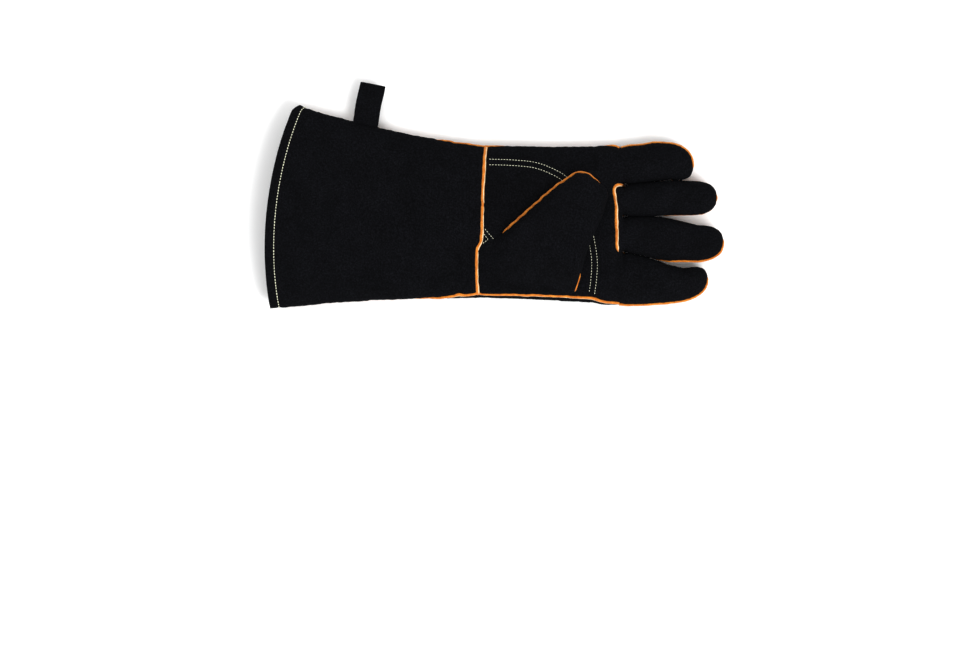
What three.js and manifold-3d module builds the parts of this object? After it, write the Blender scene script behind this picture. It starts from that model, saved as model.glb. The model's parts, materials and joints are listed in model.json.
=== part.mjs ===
// Long heat resistant glove: right hand, palm up, lying on its back with the thumb folded over the palm.
// Millimetres, +Z up. The fingers point along +X and the little finger is on the +Y side.
// Each panel, lining, welt and thread is one closed solid, and the glove is parted where it bends.
import * as THREE from "three";
import { mergeVertices } from "three/addons/utils/BufferGeometryUtils.js";
import Module from "manifold-3d";

// Layout. The hand frame has its origin on the table, under the middle of the wrist seam.
const HAND_FRAME = { x: -9.8, y: -23.4 }; // places the hand frame so that the glove's box is centred
const LEATHER = 1.5;
const LINING_OUTSIDE = 2.0; // depth of the lining's two faces below the outer skin
const LINING_INSIDE = 4.0;
const ROUNDNESS = 2.6; // exponent of the rounded slab that every cross-section is
const REST_FLAT = 0.4; // how far a section's underside would dip below the table, so it rests flat
const GAP = 0.4; // clearance on each side of a fold line

// Welts and thread.
const WELT_RADIUS = 1.5;
const WELT_DEPTH = 0.2; // depth of a welt's middle below the skin
const SEAM_HALF = 2.0; // half of the space that a welted seam leaves between two panels
const WRIST_WELT_LIFT = 0.8; // the cross seam's welt stands this much higher than the others
const BUTT_HALF = 0.3; // the same for a seam with no welt
const THREAD_RADIUS = 0.4;
const THREAD_LIFT = 0.7; // height of a thread's middle above the leather it lies on
const HEM_THREAD_FLOAT = 0.5; // the hem's thread stands off this much more, where the mouth flares

// Hand, from the wrist seam to the roots of the fingers.
const HAND_LENGTH = 121.5;
const WRIST = { low: -69, high: 70, top: 24 };
const KNUCKLES = { low: -74.5, high: 70, top: 22 };
const INDEX_SEAM_SHARE = 0.76; // the seam on the index side sits high, so the back wraps round it
const LITTLE_SEAM_SHARE = 0.5;

// Cuff, from the wrist seam to the mouth.
const MOUTH = { low: -77.1, high: 102.8, top: 30 };
const MOUTH_REACH = -192.4; // furthest point of the mouth's curved edge
const MOUTH_REACH_Y = -25.7;
const MOUTH_CURVE = 0.00151; // the edge is a parabola: reach + curve * (y - reach y) ^ 2
const CUFF_WAIST = 22; // height halfway along
const CUFF_FLARE = 1.2; // power of the flare on the little finger's side
const HEM = 6.6; // hem stitch to edge
const HEM_LIFT = 1.8; // the underside leaves the table by this much at the mouth
const WRIST_BEVEL = 8; // slant of the cuff's end, which lets the wrist bend backwards

// Fingers. y is the middle line at the root, tipY at the tip.
const FINGER_TOP = 22;
const FINGER_BEVEL = 4.4;
const KNUCKLE_X = 121.5;
const MIDDLE_JOINT_X = 155;
const TIP_ROUND = 19; // length of the rounded end
const TIP_POWERS = { x: 0.85, width: 0.75, height: 0.5 }; // how a rounded end closes
const FINGERS = {
  index: { y: -49.6, half: 23.9, tipY: -54.6, tipHalf: 16.3, tipX: 197.6, weltSide: -1 },
  middle: { y: -9.3, half: 14.1, tipY: -18.5, tipHalf: 16.4, tipX: 210.6, weltSide: -1 },
  ring: { y: 19.9, half: 12.6, tipY: 21.6, tipHalf: 15.0, tipX: 206.6, weltSide: -1 },
  little: { y: 50.6, half: 16.6, tipY: 54.2, tipHalf: 15.4, tipX: 187.4, weltSide: 1 },
};

// Palm patch and its two rows of stitching.
const PATCH_START = 5;
const PATCH_CORNER = { x: 50, y: -34, reachX: 51, reachY: 85, power: 1.75 };
const PATCH_FLOAT = 0.3;
const STITCH_ROWS = [3, 8]; // distances of the rows from the patch's edge
const STITCH_FOOT_Y = -60;

// Thumb, in its own frame: X along it from the fold at its root, Y across it.
const THUMB_ROOT = { x: 58.1, y: -19.6, turn: THREE.MathUtils.degToRad(51.7) };
const THUMB_BOTTOM = 27.6;
const THUMB_THICK = 16;
const THUMB_JOINT = 35;
const THUMB_LENGTH = 71;
const THUMB_ROUND = 20;
const THUMB_ROOT_HALF = 34;
const THUMB_TAPER = 0.277; // half width lost per millimetre
const WING_LENGTH = 42;
const WING_REAR_HALF = 22;
const WING_REAR_HEIGHT = 3;
const WING_FLOAT = 0.4; // clearance over the palm patch
const THUMB_HOLE = { back: 16, alongRadius: 13, acrossRadius: 22 };

// Hanging loop, in its own frame: X outwards from the side seam, Y across the strap.
const LOOP_ROOT = { x: -103.7, y: 92.2, z: 12, turn: THREE.MathUtils.degToRad(79) };
const LOOP = { length: 31.3, width: 22.5, strap: 1.7, eye: 5.8, neck: 9, rootHalf: 1.9 };
const LOOP_START = 0.3; // clear of the side seam
const LOOP_CORNER = 2;

const COLOURS = {
  leather: { color: 0x131315, roughness: 0.95 },
  welt: { color: 0xd87f2f, roughness: 0.8 },
  thread: { color: 0xd9d8bc, roughness: 0.7 },
  fleece: { color: 0x8d8a82, roughness: 1.0 },
  cloth: { color: 0x3a3b40, roughness: 0.95 },
};

const wasm = await Module();
wasm.setup();

const { lerp, smoothstep } = THREE.MathUtils;
const signedPower = (value, power) => Math.sign(value) * Math.abs(value) ** power;

// ---- Cross-sections -------------------------------------------------------------------------

// A section across a sleeve that reaches from low to high in Y, and from the table to top.
function sleeveSection(low, high, top, bottom = 0) {
  const height = top - bottom;
  return {
    y: (low + high) / 2,
    halfWidth: (high - low) / 2,
    z: bottom + height / 2 - REST_FLAT,
    halfHeight: height / 2 + REST_FLAT,
    bottom,
  };
}

// The section's point at an angle counted from +Y, moved inwards by depth.
function sectionPoint(section, angle, depth) {
  const power = 2 / ROUNDNESS;
  const y = section.y + (section.halfWidth - depth) * signedPower(Math.cos(angle), power);
  const z = section.z + (section.halfHeight - depth) * signedPower(Math.sin(angle), power);
  return { y, z: Math.max(z, section.bottom + depth) };
}

// The angle above the +Y side at which the section reaches a height.
function angleAtHeight(section, z) {
  return Math.asin(signedPower((z - section.z) / section.halfHeight, ROUNDNESS / 2));
}

// A height by its share of the section's own height.
const heightAt = (section, share) => section.z + section.halfHeight * (2 * share - 1);

// The height of the section's top at y, moved outwards by lift.
function topAt(section, y, lift) {
  const across = Math.min(1, Math.abs(y - section.y) / (section.halfWidth + lift));
  const rise = (1 - across ** ROUNDNESS) ** (1 / ROUNDNESS);
  return section.z + (section.halfHeight + lift) * rise;
}

function handSection(x) {
  const t = smoothstep(x, 0, HAND_LENGTH);
  const low = lerp(WRIST.low, KNUCKLES.low, t);
  const high = lerp(WRIST.high, KNUCKLES.high, t);
  return sleeveSection(low, high, lerp(WRIST.top, KNUCKLES.top, t));
}

// t runs from the wrist, 0, to the mouth, 1.
function cuffSection(t) {
  const low = lerp(WRIST.low, MOUTH.low, t ** 2);
  const high = lerp(WRIST.high, MOUTH.high, t ** CUFF_FLARE);
  const waist = lerp(WRIST.top, CUFF_WAIST, smoothstep(t, 0, 0.4));
  const top = lerp(waist, MOUTH.top, smoothstep(t, 0.4, 1));
  return sleeveSection(low, high, top, HEM_LIFT * smoothstep(t, 0.75, 1));
}

const mouthX = (y) => MOUTH_REACH + MOUTH_CURVE * (y - MOUTH_REACH_Y) ** 2;
const wristX = (z) => -GAP - WRIST_BEVEL * (1 - Math.min(1, z / WRIST.top));

// ---- Solids ---------------------------------------------------------------------------------

function geometryOf(points, triangles) {
  const geometry = new THREE.BufferGeometry();
  geometry.setAttribute("position", new THREE.Float32BufferAttribute(points.flat(), 3));
  geometry.setIndex(triangles.flat());
  geometry.computeVertexNormals();
  return geometry;
}

// Six times the volume, positive where the faces point outwards.
function volumeSign(points, triangles) {
  const corner = (i) => new THREE.Vector3(...points[i]);
  return triangles.reduce((sum, [a, b, c]) => sum + corner(a).dot(corner(b).cross(corner(c))), 0);
}

// A layer of sheet between two depths. at(u, v, depth) gives its point, with u along and v across.
// wrap joins v = 1 to v = 0, and closed draws the end at u = 1 together.
function layer(at, outside, inside, alongSteps, acrossSteps, { wrap = false, closed = false } = {}) {
  const columns = wrap ? acrossSteps : acrossSteps + 1;
  const points = [];
  const triangles = [];
  for (const depth of [outside, inside])
    for (let i = 0; i <= alongSteps; i++)
      for (let j = 0; j < columns; j++) points.push(at(i / alongSteps, j / acrossSteps, depth));
  const index = (side, i, j) => (side * (alongSteps + 1) + i) * columns + (j % columns);
  const quad = (a, b, c, d) => triangles.push([a, b, c], [a, c, d]);
  for (let i = 0; i < alongSteps; i++)
    for (let j = 0; j < acrossSteps; j++) {
      quad(index(0, i, j), index(0, i, j + 1), index(0, i + 1, j + 1), index(0, i + 1, j));
      quad(index(1, i, j), index(1, i + 1, j), index(1, i + 1, j + 1), index(1, i, j + 1));
    }
  for (let j = 0; j < acrossSteps; j++) {
    quad(index(0, 0, j), index(1, 0, j), index(1, 0, j + 1), index(0, 0, j + 1));
    if (!closed)
      quad(
        index(0, alongSteps, j),
        index(0, alongSteps, j + 1),
        index(1, alongSteps, j + 1),
        index(1, alongSteps, j),
      );
  }
  if (closed)
    for (const side of [0, 1]) {
      const ring = [...Array(columns).keys()].map((j) => index(side, alongSteps, j));
      const middle = new THREE.Vector3();
      ring.forEach((i) => middle.addScaledVector(new THREE.Vector3(...points[i]), 1 / ring.length));
      const pole = points.push(middle.toArray()) - 1;
      ring.forEach((i, j) => {
        const next = ring[(j + 1) % ring.length];
        triangles.push(side ? [next, i, pole] : [i, next, pole]);
      });
    }
  if (!wrap)
    for (let i = 0; i < alongSteps; i++) {
      quad(index(0, i, 0), index(0, i + 1, 0), index(1, i + 1, 0), index(1, i, 0));
      const last = acrossSteps;
      quad(index(0, i, last), index(1, i, last), index(1, i + 1, last), index(0, i + 1, last));
    }
  if (volumeSign(points, triangles) < 0) triangles.forEach((triangle) => triangle.reverse());
  return geometryOf(points, triangles);
}

// A round cord of `sides` flats through the given points.
function cord(points, radius, steps, sides) {
  const section = new THREE.Shape();
  for (let i = 0; i < sides; i++) {
    const angle = (2 * Math.PI * (i + 0.5)) / sides;
    section[i ? "lineTo" : "moveTo"](radius * Math.cos(angle), radius * Math.sin(angle));
  }
  const path = new THREE.CatmullRomCurve3(points.map((point) => new THREE.Vector3(...point)));
  return new THREE.ExtrudeGeometry(section, { steps, extrudePath: path, curveSegments: 1 });
}

const welt = (points, steps) => cord(points, WELT_RADIUS, steps, 6);
const thread = (points, steps) => cord(points, THREAD_RADIUS, steps, 4);

function toSolid(geometry) {
  const bare = geometry.clone();
  bare.deleteAttribute("normal");
  bare.deleteAttribute("uv");
  const merged = mergeVertices(bare, 1e-3);
  const vertProperties = merged.attributes.position.array;
  const triVerts = new Uint32Array(merged.index.array);
  return new wasm.Manifold(new wasm.Mesh({ numProp: 3, vertProperties, triVerts }));
}

function cut(geometry, tool) {
  const { vertProperties, triVerts } = toSolid(geometry).subtract(toSolid(tool)).getMesh();
  const result = new THREE.BufferGeometry();
  result.setAttribute("position", new THREE.BufferAttribute(vertProperties, 3));
  result.setIndex(new THREE.BufferAttribute(triVerts, 1));
  result.computeVertexNormals();
  return result;
}

// How finely the panels, linings and cords are divided: [along, across], or along a cord.
const PANEL_STEPS = [7, 14];
const LINING_STEPS = [6, 22];
const BASE_STEPS = [3, 8];
const TIP_STEPS = [7, 8];
const THUMB_BASE_STEPS = [3, 10];
const THUMB_TIP_STEPS = [7, 10];
const LINING_BASE_STEPS = 3;
const LINING_TIP_STEPS = 6;
const LINING_ROUND = 12;
const SEAM_STEPS = 10;
const TIP_WELT_STEPS = 26;
const TIP_WELT_AT = [0.01, 0.15, 0.3, 0.45, 0.6, 0.75, 0.88]; // shares of the tip's length

const glove = new THREE.Group();
const hand = new THREE.Group();
const thumb = new THREE.Group();
const loop = new THREE.Group();

function add(group, name, geometry, finish) {
  const mesh = new THREE.Mesh(geometry, new THREE.MeshStandardMaterial({ metalness: 0, ...finish }));
  mesh.name = name;
  group.add(mesh);
}

// ---- Panels that run round a sleeve ---------------------------------------------------------

// Angles of a section's two seams, each moved by the seam's half gap towards +Z (1) or -Z (-1).
function seamAngles(section, side, lowShare, highShare, lowHalf, highHalf) {
  return {
    high: angleAtHeight(section, heightAt(section, highShare) + side * highHalf),
    low: Math.PI - angleAtHeight(section, heightAt(section, lowShare) + side * lowHalf),
  };
}

// Point of a panel on the palm side (1) or on the back (-1): v runs from the +Y seam to the -Y seam.
function panelPoint(section, side, v, depth, seams) {
  const { lowShare, highShare, lowHalf = SEAM_HALF, highHalf = SEAM_HALF } = seams;
  const { high, low } = seamAngles(section, side, lowShare, highShare, lowHalf, highHalf);
  const angle = side > 0 ? lerp(high, low, v) : lerp(high, low - 2 * Math.PI, v);
  return sectionPoint(section, angle, depth);
}

const HAND_SEAMS = { lowShare: INDEX_SEAM_SHARE, highShare: LITTLE_SEAM_SHARE };
const FINGER_SEAM = 0.5;

function handPanel(side, start, end) {
  const at = (u, v, depth) => {
    const x = lerp(start, end, u);
    const { y, z } = panelPoint(handSection(x), side, v, depth, HAND_SEAMS);
    return [x, y, z];
  };
  return layer(at, 0, LEATHER, ...PANEL_STEPS);
}

function cuffPanel(side) {
  const at = (u, v, depth) => {
    const { y, z } = panelPoint(cuffSection(u), side, v, depth, HAND_SEAMS);
    return [lerp(wristX(z), mouthX(y), u), y, z];
  };
  return layer(at, 0, LEATHER, ...PANEL_STEPS);
}

// The seam's own line, on the +Y side (1) or the -Y side (-1).
function seamPoint(section, side, share, depth = WELT_DEPTH) {
  const angle = angleAtHeight(section, heightAt(section, share));
  return sectionPoint(section, side > 0 ? angle : Math.PI - angle, depth);
}

function handWelt(side, share) {
  const points = [];
  for (let i = 0; i <= 6; i++) {
    const x = lerp(2 * GAP + 2 * SEAM_HALF, HAND_LENGTH - 2 * GAP, i / 6);
    const { y, z } = seamPoint(handSection(x), side, share);
    points.push([x, y, z]);
  }
  return welt(points, SEAM_STEPS);
}

function cuffWelt(side, share) {
  const points = [];
  for (let i = 0; i <= 6; i++) {
    const t = i / 6;
    const { y, z } = seamPoint(cuffSection(t), side, share, 0);
    points.push([lerp(wristX(z) - WELT_RADIUS, mouthX(y) + HEM + WELT_RADIUS, t), y, z]);
  }
  return welt(points, SEAM_STEPS);
}

// ---- Hand -----------------------------------------------------------------------------------

function handLining() {
  const at = (u, v, depth) => {
    const x = lerp(GAP, HAND_LENGTH - GAP, u);
    const { y, z } = sectionPoint(handSection(x), 2 * Math.PI * v, depth);
    return [x, y, z];
  };
  return layer(at, LINING_OUTSIDE, LINING_INSIDE, ...LINING_STEPS, { wrap: true });
}

// The patch's far edge: how far towards the little finger it reaches at x, moved inwards by `inside`.
function patchEdgeY(x, inside) {
  const { x: cx, y: cy, reachX, reachY, power } = PATCH_CORNER;
  const t = Math.max(0, x - cx) / (reachX - inside);
  return cy + (reachY - inside) * Math.max(0, 1 - t ** power) ** (1 / power);
}

// Angle of the section's point above y.
function angleAtY(section, y) {
  return Math.acos(signedPower((y - section.y) / section.halfWidth, ROUNDNESS / 2));
}

function palmPatch() {
  const end = PATCH_CORNER.x + PATCH_CORNER.reachX;
  const at = (u, v, depth) => {
    const x = lerp(PATCH_START, end, 1 - (1 - u) ** 1.5);
    const section = handSection(x);
    const high = angleAtY(section, patchEdgeY(x, 0));
    const seams = seamAngles(section, 1, INDEX_SEAM_SHARE, LITTLE_SEAM_SHARE, 1.8 * SEAM_HALF, 0);
    const { y, z } = sectionPoint(section, lerp(high, seams.low, v), depth);
    return [x, y, z];
  };
  return layer(at, -PATCH_FLOAT - LEATHER, -PATCH_FLOAT, 9, 10);
}

const patchTop = (x, y) => topAt(handSection(x), y, PATCH_FLOAT + LEATHER);

// One row of the patch's stitching, from the wrist round to the index side.
function stitchRow(inside) {
  const { x: cx, y: cy, reachX } = PATCH_CORNER;
  const plan = [];
  for (let i = 0; i <= 3; i++) plan.push(lerp(PATCH_START + 1, cx, i / 3));
  for (let i = 1; i <= 8; i++) plan.push(cx + (reachX - inside) * Math.sin((Math.PI * i) / 16));
  const row = plan.map((x) => [x, patchEdgeY(x, inside)]);
  const foot = cx + reachX - inside;
  for (let i = 1; i <= 2; i++) row.push([foot, lerp(cy, STITCH_FOOT_Y, i / 2)]);
  return row;
}

// The thread goes out along one row and comes back along the other.
function patchStitch() {
  const [outer, inner] = STITCH_ROWS.map(stitchRow);
  const path = [...outer, ...inner.reverse()];
  return thread(
    path.map(([x, y]) => [x, y, patchTop(x, y) + THREAD_LIFT]),
    84,
  );
}

function thumbHole() {
  const { back, alongRadius, acrossRadius } = THUMB_HOLE;
  const outline = new THREE.Shape().absellipse(0, 0, alongRadius, acrossRadius, 0, 2 * Math.PI);
  const hole = new THREE.ExtrudeGeometry(outline, { depth: 30, bevelEnabled: false, curveSegments: 8 });
  const place = new THREE.Matrix4().makeTranslation(THUMB_ROOT.x, THUMB_ROOT.y, 12);
  place.multiply(new THREE.Matrix4().makeRotationZ(THUMB_ROOT.turn));
  place.multiply(new THREE.Matrix4().makeTranslation(-back, 0, 0));
  return hole.applyMatrix4(place);
}

// The welt across the wrist, between the cuff and the palm.
function wristWelt() {
  const x = GAP + WELT_RADIUS;
  const section = handSection(x);
  const points = [];
  for (let i = 0; i <= 16; i++) {
    const { y, z } = panelPoint(section, 1, i / 16, WELT_DEPTH - WRIST_WELT_LIFT, HAND_SEAMS);
    points.push([x, y, z]);
  }
  return welt(points, 20);
}

// The welt at the foot of the middle and ring fingers, with a hook at its end.
function fingerFootWelt() {
  const lift = WELT_RADIUS + PATCH_FLOAT;
  const plan = [
    [HAND_LENGTH - 2, -27],
    [HAND_LENGTH - 3.5, -12],
    [HAND_LENGTH - 4.5, 6],
    [HAND_LENGTH - 5.5, 24],
    [HAND_LENGTH - 4.5, 30.5],
    [HAND_LENGTH - 2, 32.5],
  ];
  return welt(
    plan.map(([x, y]) => [x, y, topAt(handSection(x), y, 0) + lift]),
    12,
  );
}

function makeHand() {
  const hole = thumbHole();
  add(hand, "palm_panel", cut(handPanel(1, GAP + 2 * SEAM_HALF, HAND_LENGTH - GAP), hole), COLOURS.leather);
  add(hand, "palm_patch", cut(palmPatch(), hole), COLOURS.leather);
  add(hand, "palm_patch_stitch", patchStitch(), COLOURS.thread);
  add(hand, "back_panel", handPanel(-1, GAP, HAND_LENGTH - GAP), COLOURS.leather);
  add(hand, "hand_lining", cut(handLining(), hole), COLOURS.fleece);
  add(hand, "wrist_welt", wristWelt(), COLOURS.welt);
  add(hand, "finger_foot_welt", fingerFootWelt(), COLOURS.welt);
  add(hand, "hand_welt_index_side", handWelt(-1, INDEX_SEAM_SHARE), COLOURS.welt);
  add(hand, "hand_welt_little_side", handWelt(1, LITTLE_SEAM_SHARE), COLOURS.welt);
}

// ---- Cuff -----------------------------------------------------------------------------------

function cuffLining() {
  const at = (u, v, depth) => {
    const { y, z } = sectionPoint(cuffSection(u), 2 * Math.PI * v, depth);
    return [lerp(wristX(z), mouthX(y) + 1, u), y, z];
  };
  return layer(at, LINING_OUTSIDE, LINING_INSIDE, ...LINING_STEPS, { wrap: true });
}

// One row of thread right round the mouth. Its two ends meet at the little finger's side seam.
function hemStitch() {
  const t = 1 - HEM / Math.abs(MOUTH_REACH);
  const turnStart = 0.02;
  const points = [];
  for (let i = 0; i <= 40; i++) {
    const angle = 2 * Math.PI * lerp(turnStart, 1 - turnStart, i / 40);
    const { y, z } = sectionPoint(cuffSection(t), angle, -THREAD_LIFT - HEM_THREAD_FLOAT);
    points.push([mouthX(y) + HEM, y, z]);
  }
  return thread(points, 56);
}

function makeCuff() {
  add(hand, "cuff_palm_panel", cuffPanel(1), COLOURS.leather);
  add(hand, "cuff_back_panel", cuffPanel(-1), COLOURS.leather);
  add(hand, "cuff_lining", cuffLining(), COLOURS.cloth);
  add(hand, "cuff_welt_index_side", cuffWelt(-1, INDEX_SEAM_SHARE), COLOURS.welt);
  add(hand, "cuff_welt_little_side", cuffWelt(1, LITTLE_SEAM_SHARE), COLOURS.welt);
  add(hand, "hem_stitch", hemStitch(), COLOURS.thread);
}

// ---- Hanging loop ---------------------------------------------------------------------------

// The strap seen from its edge: two layers from the seam, parted by the eye, and a flat far end.
function loopOutline() {
  const { length, strap, eye, neck, rootHalf } = LOOP;
  const half = eye / 2;
  const waist = 0.6 * neck; // where the two layers leave each other
  const outline = new THREE.Shape();
  outline.moveTo(LOOP_START, -rootHalf);
  outline.quadraticCurveTo(waist, -rootHalf, neck, -half - strap);
  outline.lineTo(length - LOOP_CORNER, -half - strap);
  outline.quadraticCurveTo(length, -half - strap, length, -half);
  outline.lineTo(length, half);
  outline.quadraticCurveTo(length, half + strap, length - LOOP_CORNER, half + strap);
  outline.lineTo(neck, half + strap);
  outline.quadraticCurveTo(waist, rootHalf, LOOP_START, rootHalf);
  outline.closePath();
  const hollow = new THREE.Path();
  hollow.moveTo(0.75 * neck, 0);
  hollow.lineTo(neck + LOOP_CORNER, half);
  hollow.lineTo(length - strap, half);
  hollow.lineTo(length - strap, -half);
  hollow.lineTo(neck + LOOP_CORNER, -half);
  hollow.closePath();
  outline.holes.push(hollow);
  return outline;
}

function makeLoop() {
  const options = { depth: LOOP.width, bevelEnabled: false, curveSegments: 3 };
  const strap = new THREE.ExtrudeGeometry(loopOutline(), options);
  strap.translate(0, 0, -LOOP.width / 2);
  strap.rotateX(Math.PI / 2);
  add(loop, "hanging_loop", strap, COLOURS.leather);
}

// ---- Fingers --------------------------------------------------------------------------------

function fingerSection(finger, x) {
  const t = smoothstep(x, KNUCKLE_X, finger.tipX - TIP_ROUND);
  const y = lerp(finger.y, finger.tipY, t);
  const half = lerp(finger.half, finger.tipHalf, t);
  return sleeveSection(y - half, y + half, FINGER_TOP);
}

const knuckleX = (z) => KNUCKLE_X + GAP + FINGER_BEVEL * (1 - Math.min(1, z / FINGER_TOP));

function fingerBasePoint(finger, u, depth, pointOf) {
  const x = lerp(KNUCKLE_X, MIDDLE_JOINT_X - GAP, u);
  const { y, z } = pointOf(fingerSection(finger, x), depth);
  return [lerp(knuckleX(z), MIDDLE_JOINT_X - GAP, u), y, z];
}

// Sections of a rounded end: straight as far as start, then closing over `round` to the end.
function closingEnd(u, start, end, round, depth) {
  const straight = 0.3;
  const lastTurn = THREE.MathUtils.degToRad(80);
  if (u <= straight) return { x: lerp(start, end - round, u / straight), width: 1, height: 1 };
  const turn = lerp(0, lastTurn, (u - straight) / (1 - straight));
  const x = end - round + (round - depth) * Math.sin(turn) ** TIP_POWERS.x;
  return { x, width: Math.cos(turn) ** TIP_POWERS.width, height: Math.cos(turn) ** TIP_POWERS.height };
}

function shrink(section, width, height) {
  const halfHeight = section.halfHeight * height;
  return { ...section, halfWidth: section.halfWidth * width, halfHeight };
}

function fingerTipPoint(finger, u, depth, pointOf) {
  const end = closingEnd(u, MIDDLE_JOINT_X + GAP, finger.tipX, TIP_ROUND, depth);
  const section = fingerSection(finger, end.x);
  const { y, z } = pointOf(shrink(section, end.width, end.height), depth * end.width);
  return [end.x, y, z];
}

function fingerSeams(finger) {
  const lowHalf = finger.weltSide < 0 ? SEAM_HALF : BUTT_HALF;
  const highHalf = finger.weltSide > 0 ? SEAM_HALF : BUTT_HALF;
  return { lowShare: FINGER_SEAM, highShare: FINGER_SEAM, lowHalf, highHalf };
}

function fingerBaseWelt(finger) {
  const points = [];
  for (let i = 0; i <= 3; i++) {
    const x = lerp(knuckleX(FINGER_TOP / 2) + WELT_RADIUS, MIDDLE_JOINT_X - 2 * GAP, i / 3);
    const { y, z } = seamPoint(fingerSection(finger, x), finger.weltSide, FINGER_SEAM);
    points.push([x, y, z]);
  }
  return welt(points, 3);
}

// The welt down one side of the finger, round its tip and back up the other side.
function fingerTipWelt(finger) {
  const z = FINGER_TOP / 2;
  const side = (sign) => {
    const points = [];
    for (const u of TIP_WELT_AT) {
      const [x, y] = fingerTipPoint(finger, u, WELT_DEPTH, (section, depth) =>
        seamPoint(section, sign, FINGER_SEAM, depth),
      );
      points.push([x, y, z]);
    }
    return points;
  };
  const tip = [finger.tipX - WELT_DEPTH, finger.tipY, z];
  return welt([...side(1), tip, ...side(-1).reverse()], TIP_WELT_STEPS);
}

function makeFinger(name, finger) {
  const baseSeams = fingerSeams(finger);
  const tipSeams = { lowShare: FINGER_SEAM, highShare: FINGER_SEAM };
  const base = (side) => (u, v, depth) =>
    fingerBasePoint(finger, u, depth, (section, inner) => panelPoint(section, side, v, inner, baseSeams));
  const tip = (side) => (u, v, depth) =>
    fingerTipPoint(finger, u, depth, (section, inner) => panelPoint(section, side, v, inner, tipSeams));
  const baseTube = (u, v, depth) =>
    fingerBasePoint(finger, u, depth, (section, inner) => sectionPoint(section, 2 * Math.PI * v, inner));
  const tipTube = (u, v, depth) =>
    fingerTipPoint(finger, u, depth, (section, inner) => sectionPoint(section, 2 * Math.PI * v, inner));
  add(hand, `${name}_base_front`, layer(base(1), 0, LEATHER, ...BASE_STEPS), COLOURS.leather);
  add(hand, `${name}_base_back`, layer(base(-1), 0, LEATHER, ...BASE_STEPS), COLOURS.leather);
  add(hand, `${name}_base_lining`, tubeLining(baseTube, LINING_BASE_STEPS), COLOURS.fleece);
  add(hand, `${name}_base_welt`, fingerBaseWelt(finger), COLOURS.welt);
  add(hand, `${name}_tip_front`, layer(tip(1), 0, LEATHER, ...TIP_STEPS), COLOURS.leather);
  add(hand, `${name}_tip_back`, layer(tip(-1), 0, LEATHER, ...TIP_STEPS), COLOURS.leather);
  add(hand, `${name}_tip_lining`, tubeLining(tipTube, LINING_TIP_STEPS, true), COLOURS.fleece);
  add(hand, `${name}_tip_welt`, fingerTipWelt(finger), COLOURS.welt);
}

function tubeLining(at, steps, closed = false) {
  return layer(at, LINING_OUTSIDE, LINING_INSIDE, steps, LINING_ROUND, { wrap: true, closed });
}

// ---- Thumb ----------------------------------------------------------------------------------

function thumbSection(x) {
  const half = THUMB_ROOT_HALF - THUMB_TAPER * x;
  return sleeveSection(-half, half, THUMB_BOTTOM + THUMB_THICK, THUMB_BOTTOM);
}

function thumbBasePoint(u, depth, pointOf) {
  const x = lerp(GAP, THUMB_JOINT - GAP, u);
  const { y, z } = pointOf(thumbSection(x), depth);
  return [x, y, z];
}

function thumbTipPoint(u, depth, pointOf) {
  const end = closingEnd(u, THUMB_JOINT + GAP, THUMB_LENGTH, THUMB_ROUND, depth);
  const { y, z } = pointOf(shrink(thumbSection(end.x), end.width, end.height), depth * end.width);
  return [end.x, y, z];
}

function thumbTipWelt() {
  const z = THUMB_BOTTOM + THUMB_THICK / 2;
  const side = (sign) =>
    TIP_WELT_AT.map((u) => {
      const [x, y] = thumbTipPoint(u, WELT_DEPTH, (section, depth) =>
        seamPoint(section, sign, FINGER_SEAM, depth),
      );
      return [x, y, z];
    });
  const tip = [THUMB_LENGTH - WELT_DEPTH, 0, z];
  return welt([...side(1), tip, ...side(-1).reverse()], TIP_WELT_STEPS);
}

function thumbBaseWelt() {
  const points = [0.02, 0.3, 0.6, 0.98].map((u) =>
    thumbBasePoint(u, WELT_DEPTH, (section, depth) => seamPoint(section, 1, FINGER_SEAM, depth)),
  );
  return welt(points, 4);
}

function toHandFrame(x, y) {
  const { x: x0, y: y0, turn } = THUMB_ROOT;
  return [x0 + x * Math.cos(turn) - y * Math.sin(turn), y0 + x * Math.sin(turn) + y * Math.cos(turn)];
}

// The wing rises from the palm to the fold at the thumb's root. Its underside is open to the palm.
function thumbWing() {
  const at = (u, v, depth) => {
    const back = WING_LENGTH * (1 - u);
    const share = (back / WING_LENGTH) ** 2;
    const half = lerp(THUMB_ROOT_HALF, WING_REAR_HALF, share) - depth;
    const height = lerp(THUMB_THICK, WING_REAR_HEIGHT, share) - depth;
    const angle = Math.PI * v;
    const y = half * signedPower(Math.cos(angle), 2 / ROUNDNESS);
    const foot = patchTop(...toHandFrame(-GAP - back, y)) + WING_FLOAT;
    return [-GAP - back, y, foot + height * Math.sin(angle) ** (2 / ROUNDNESS)];
  };
  return layer(at, 0, LEATHER, 6, 14);
}

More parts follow.
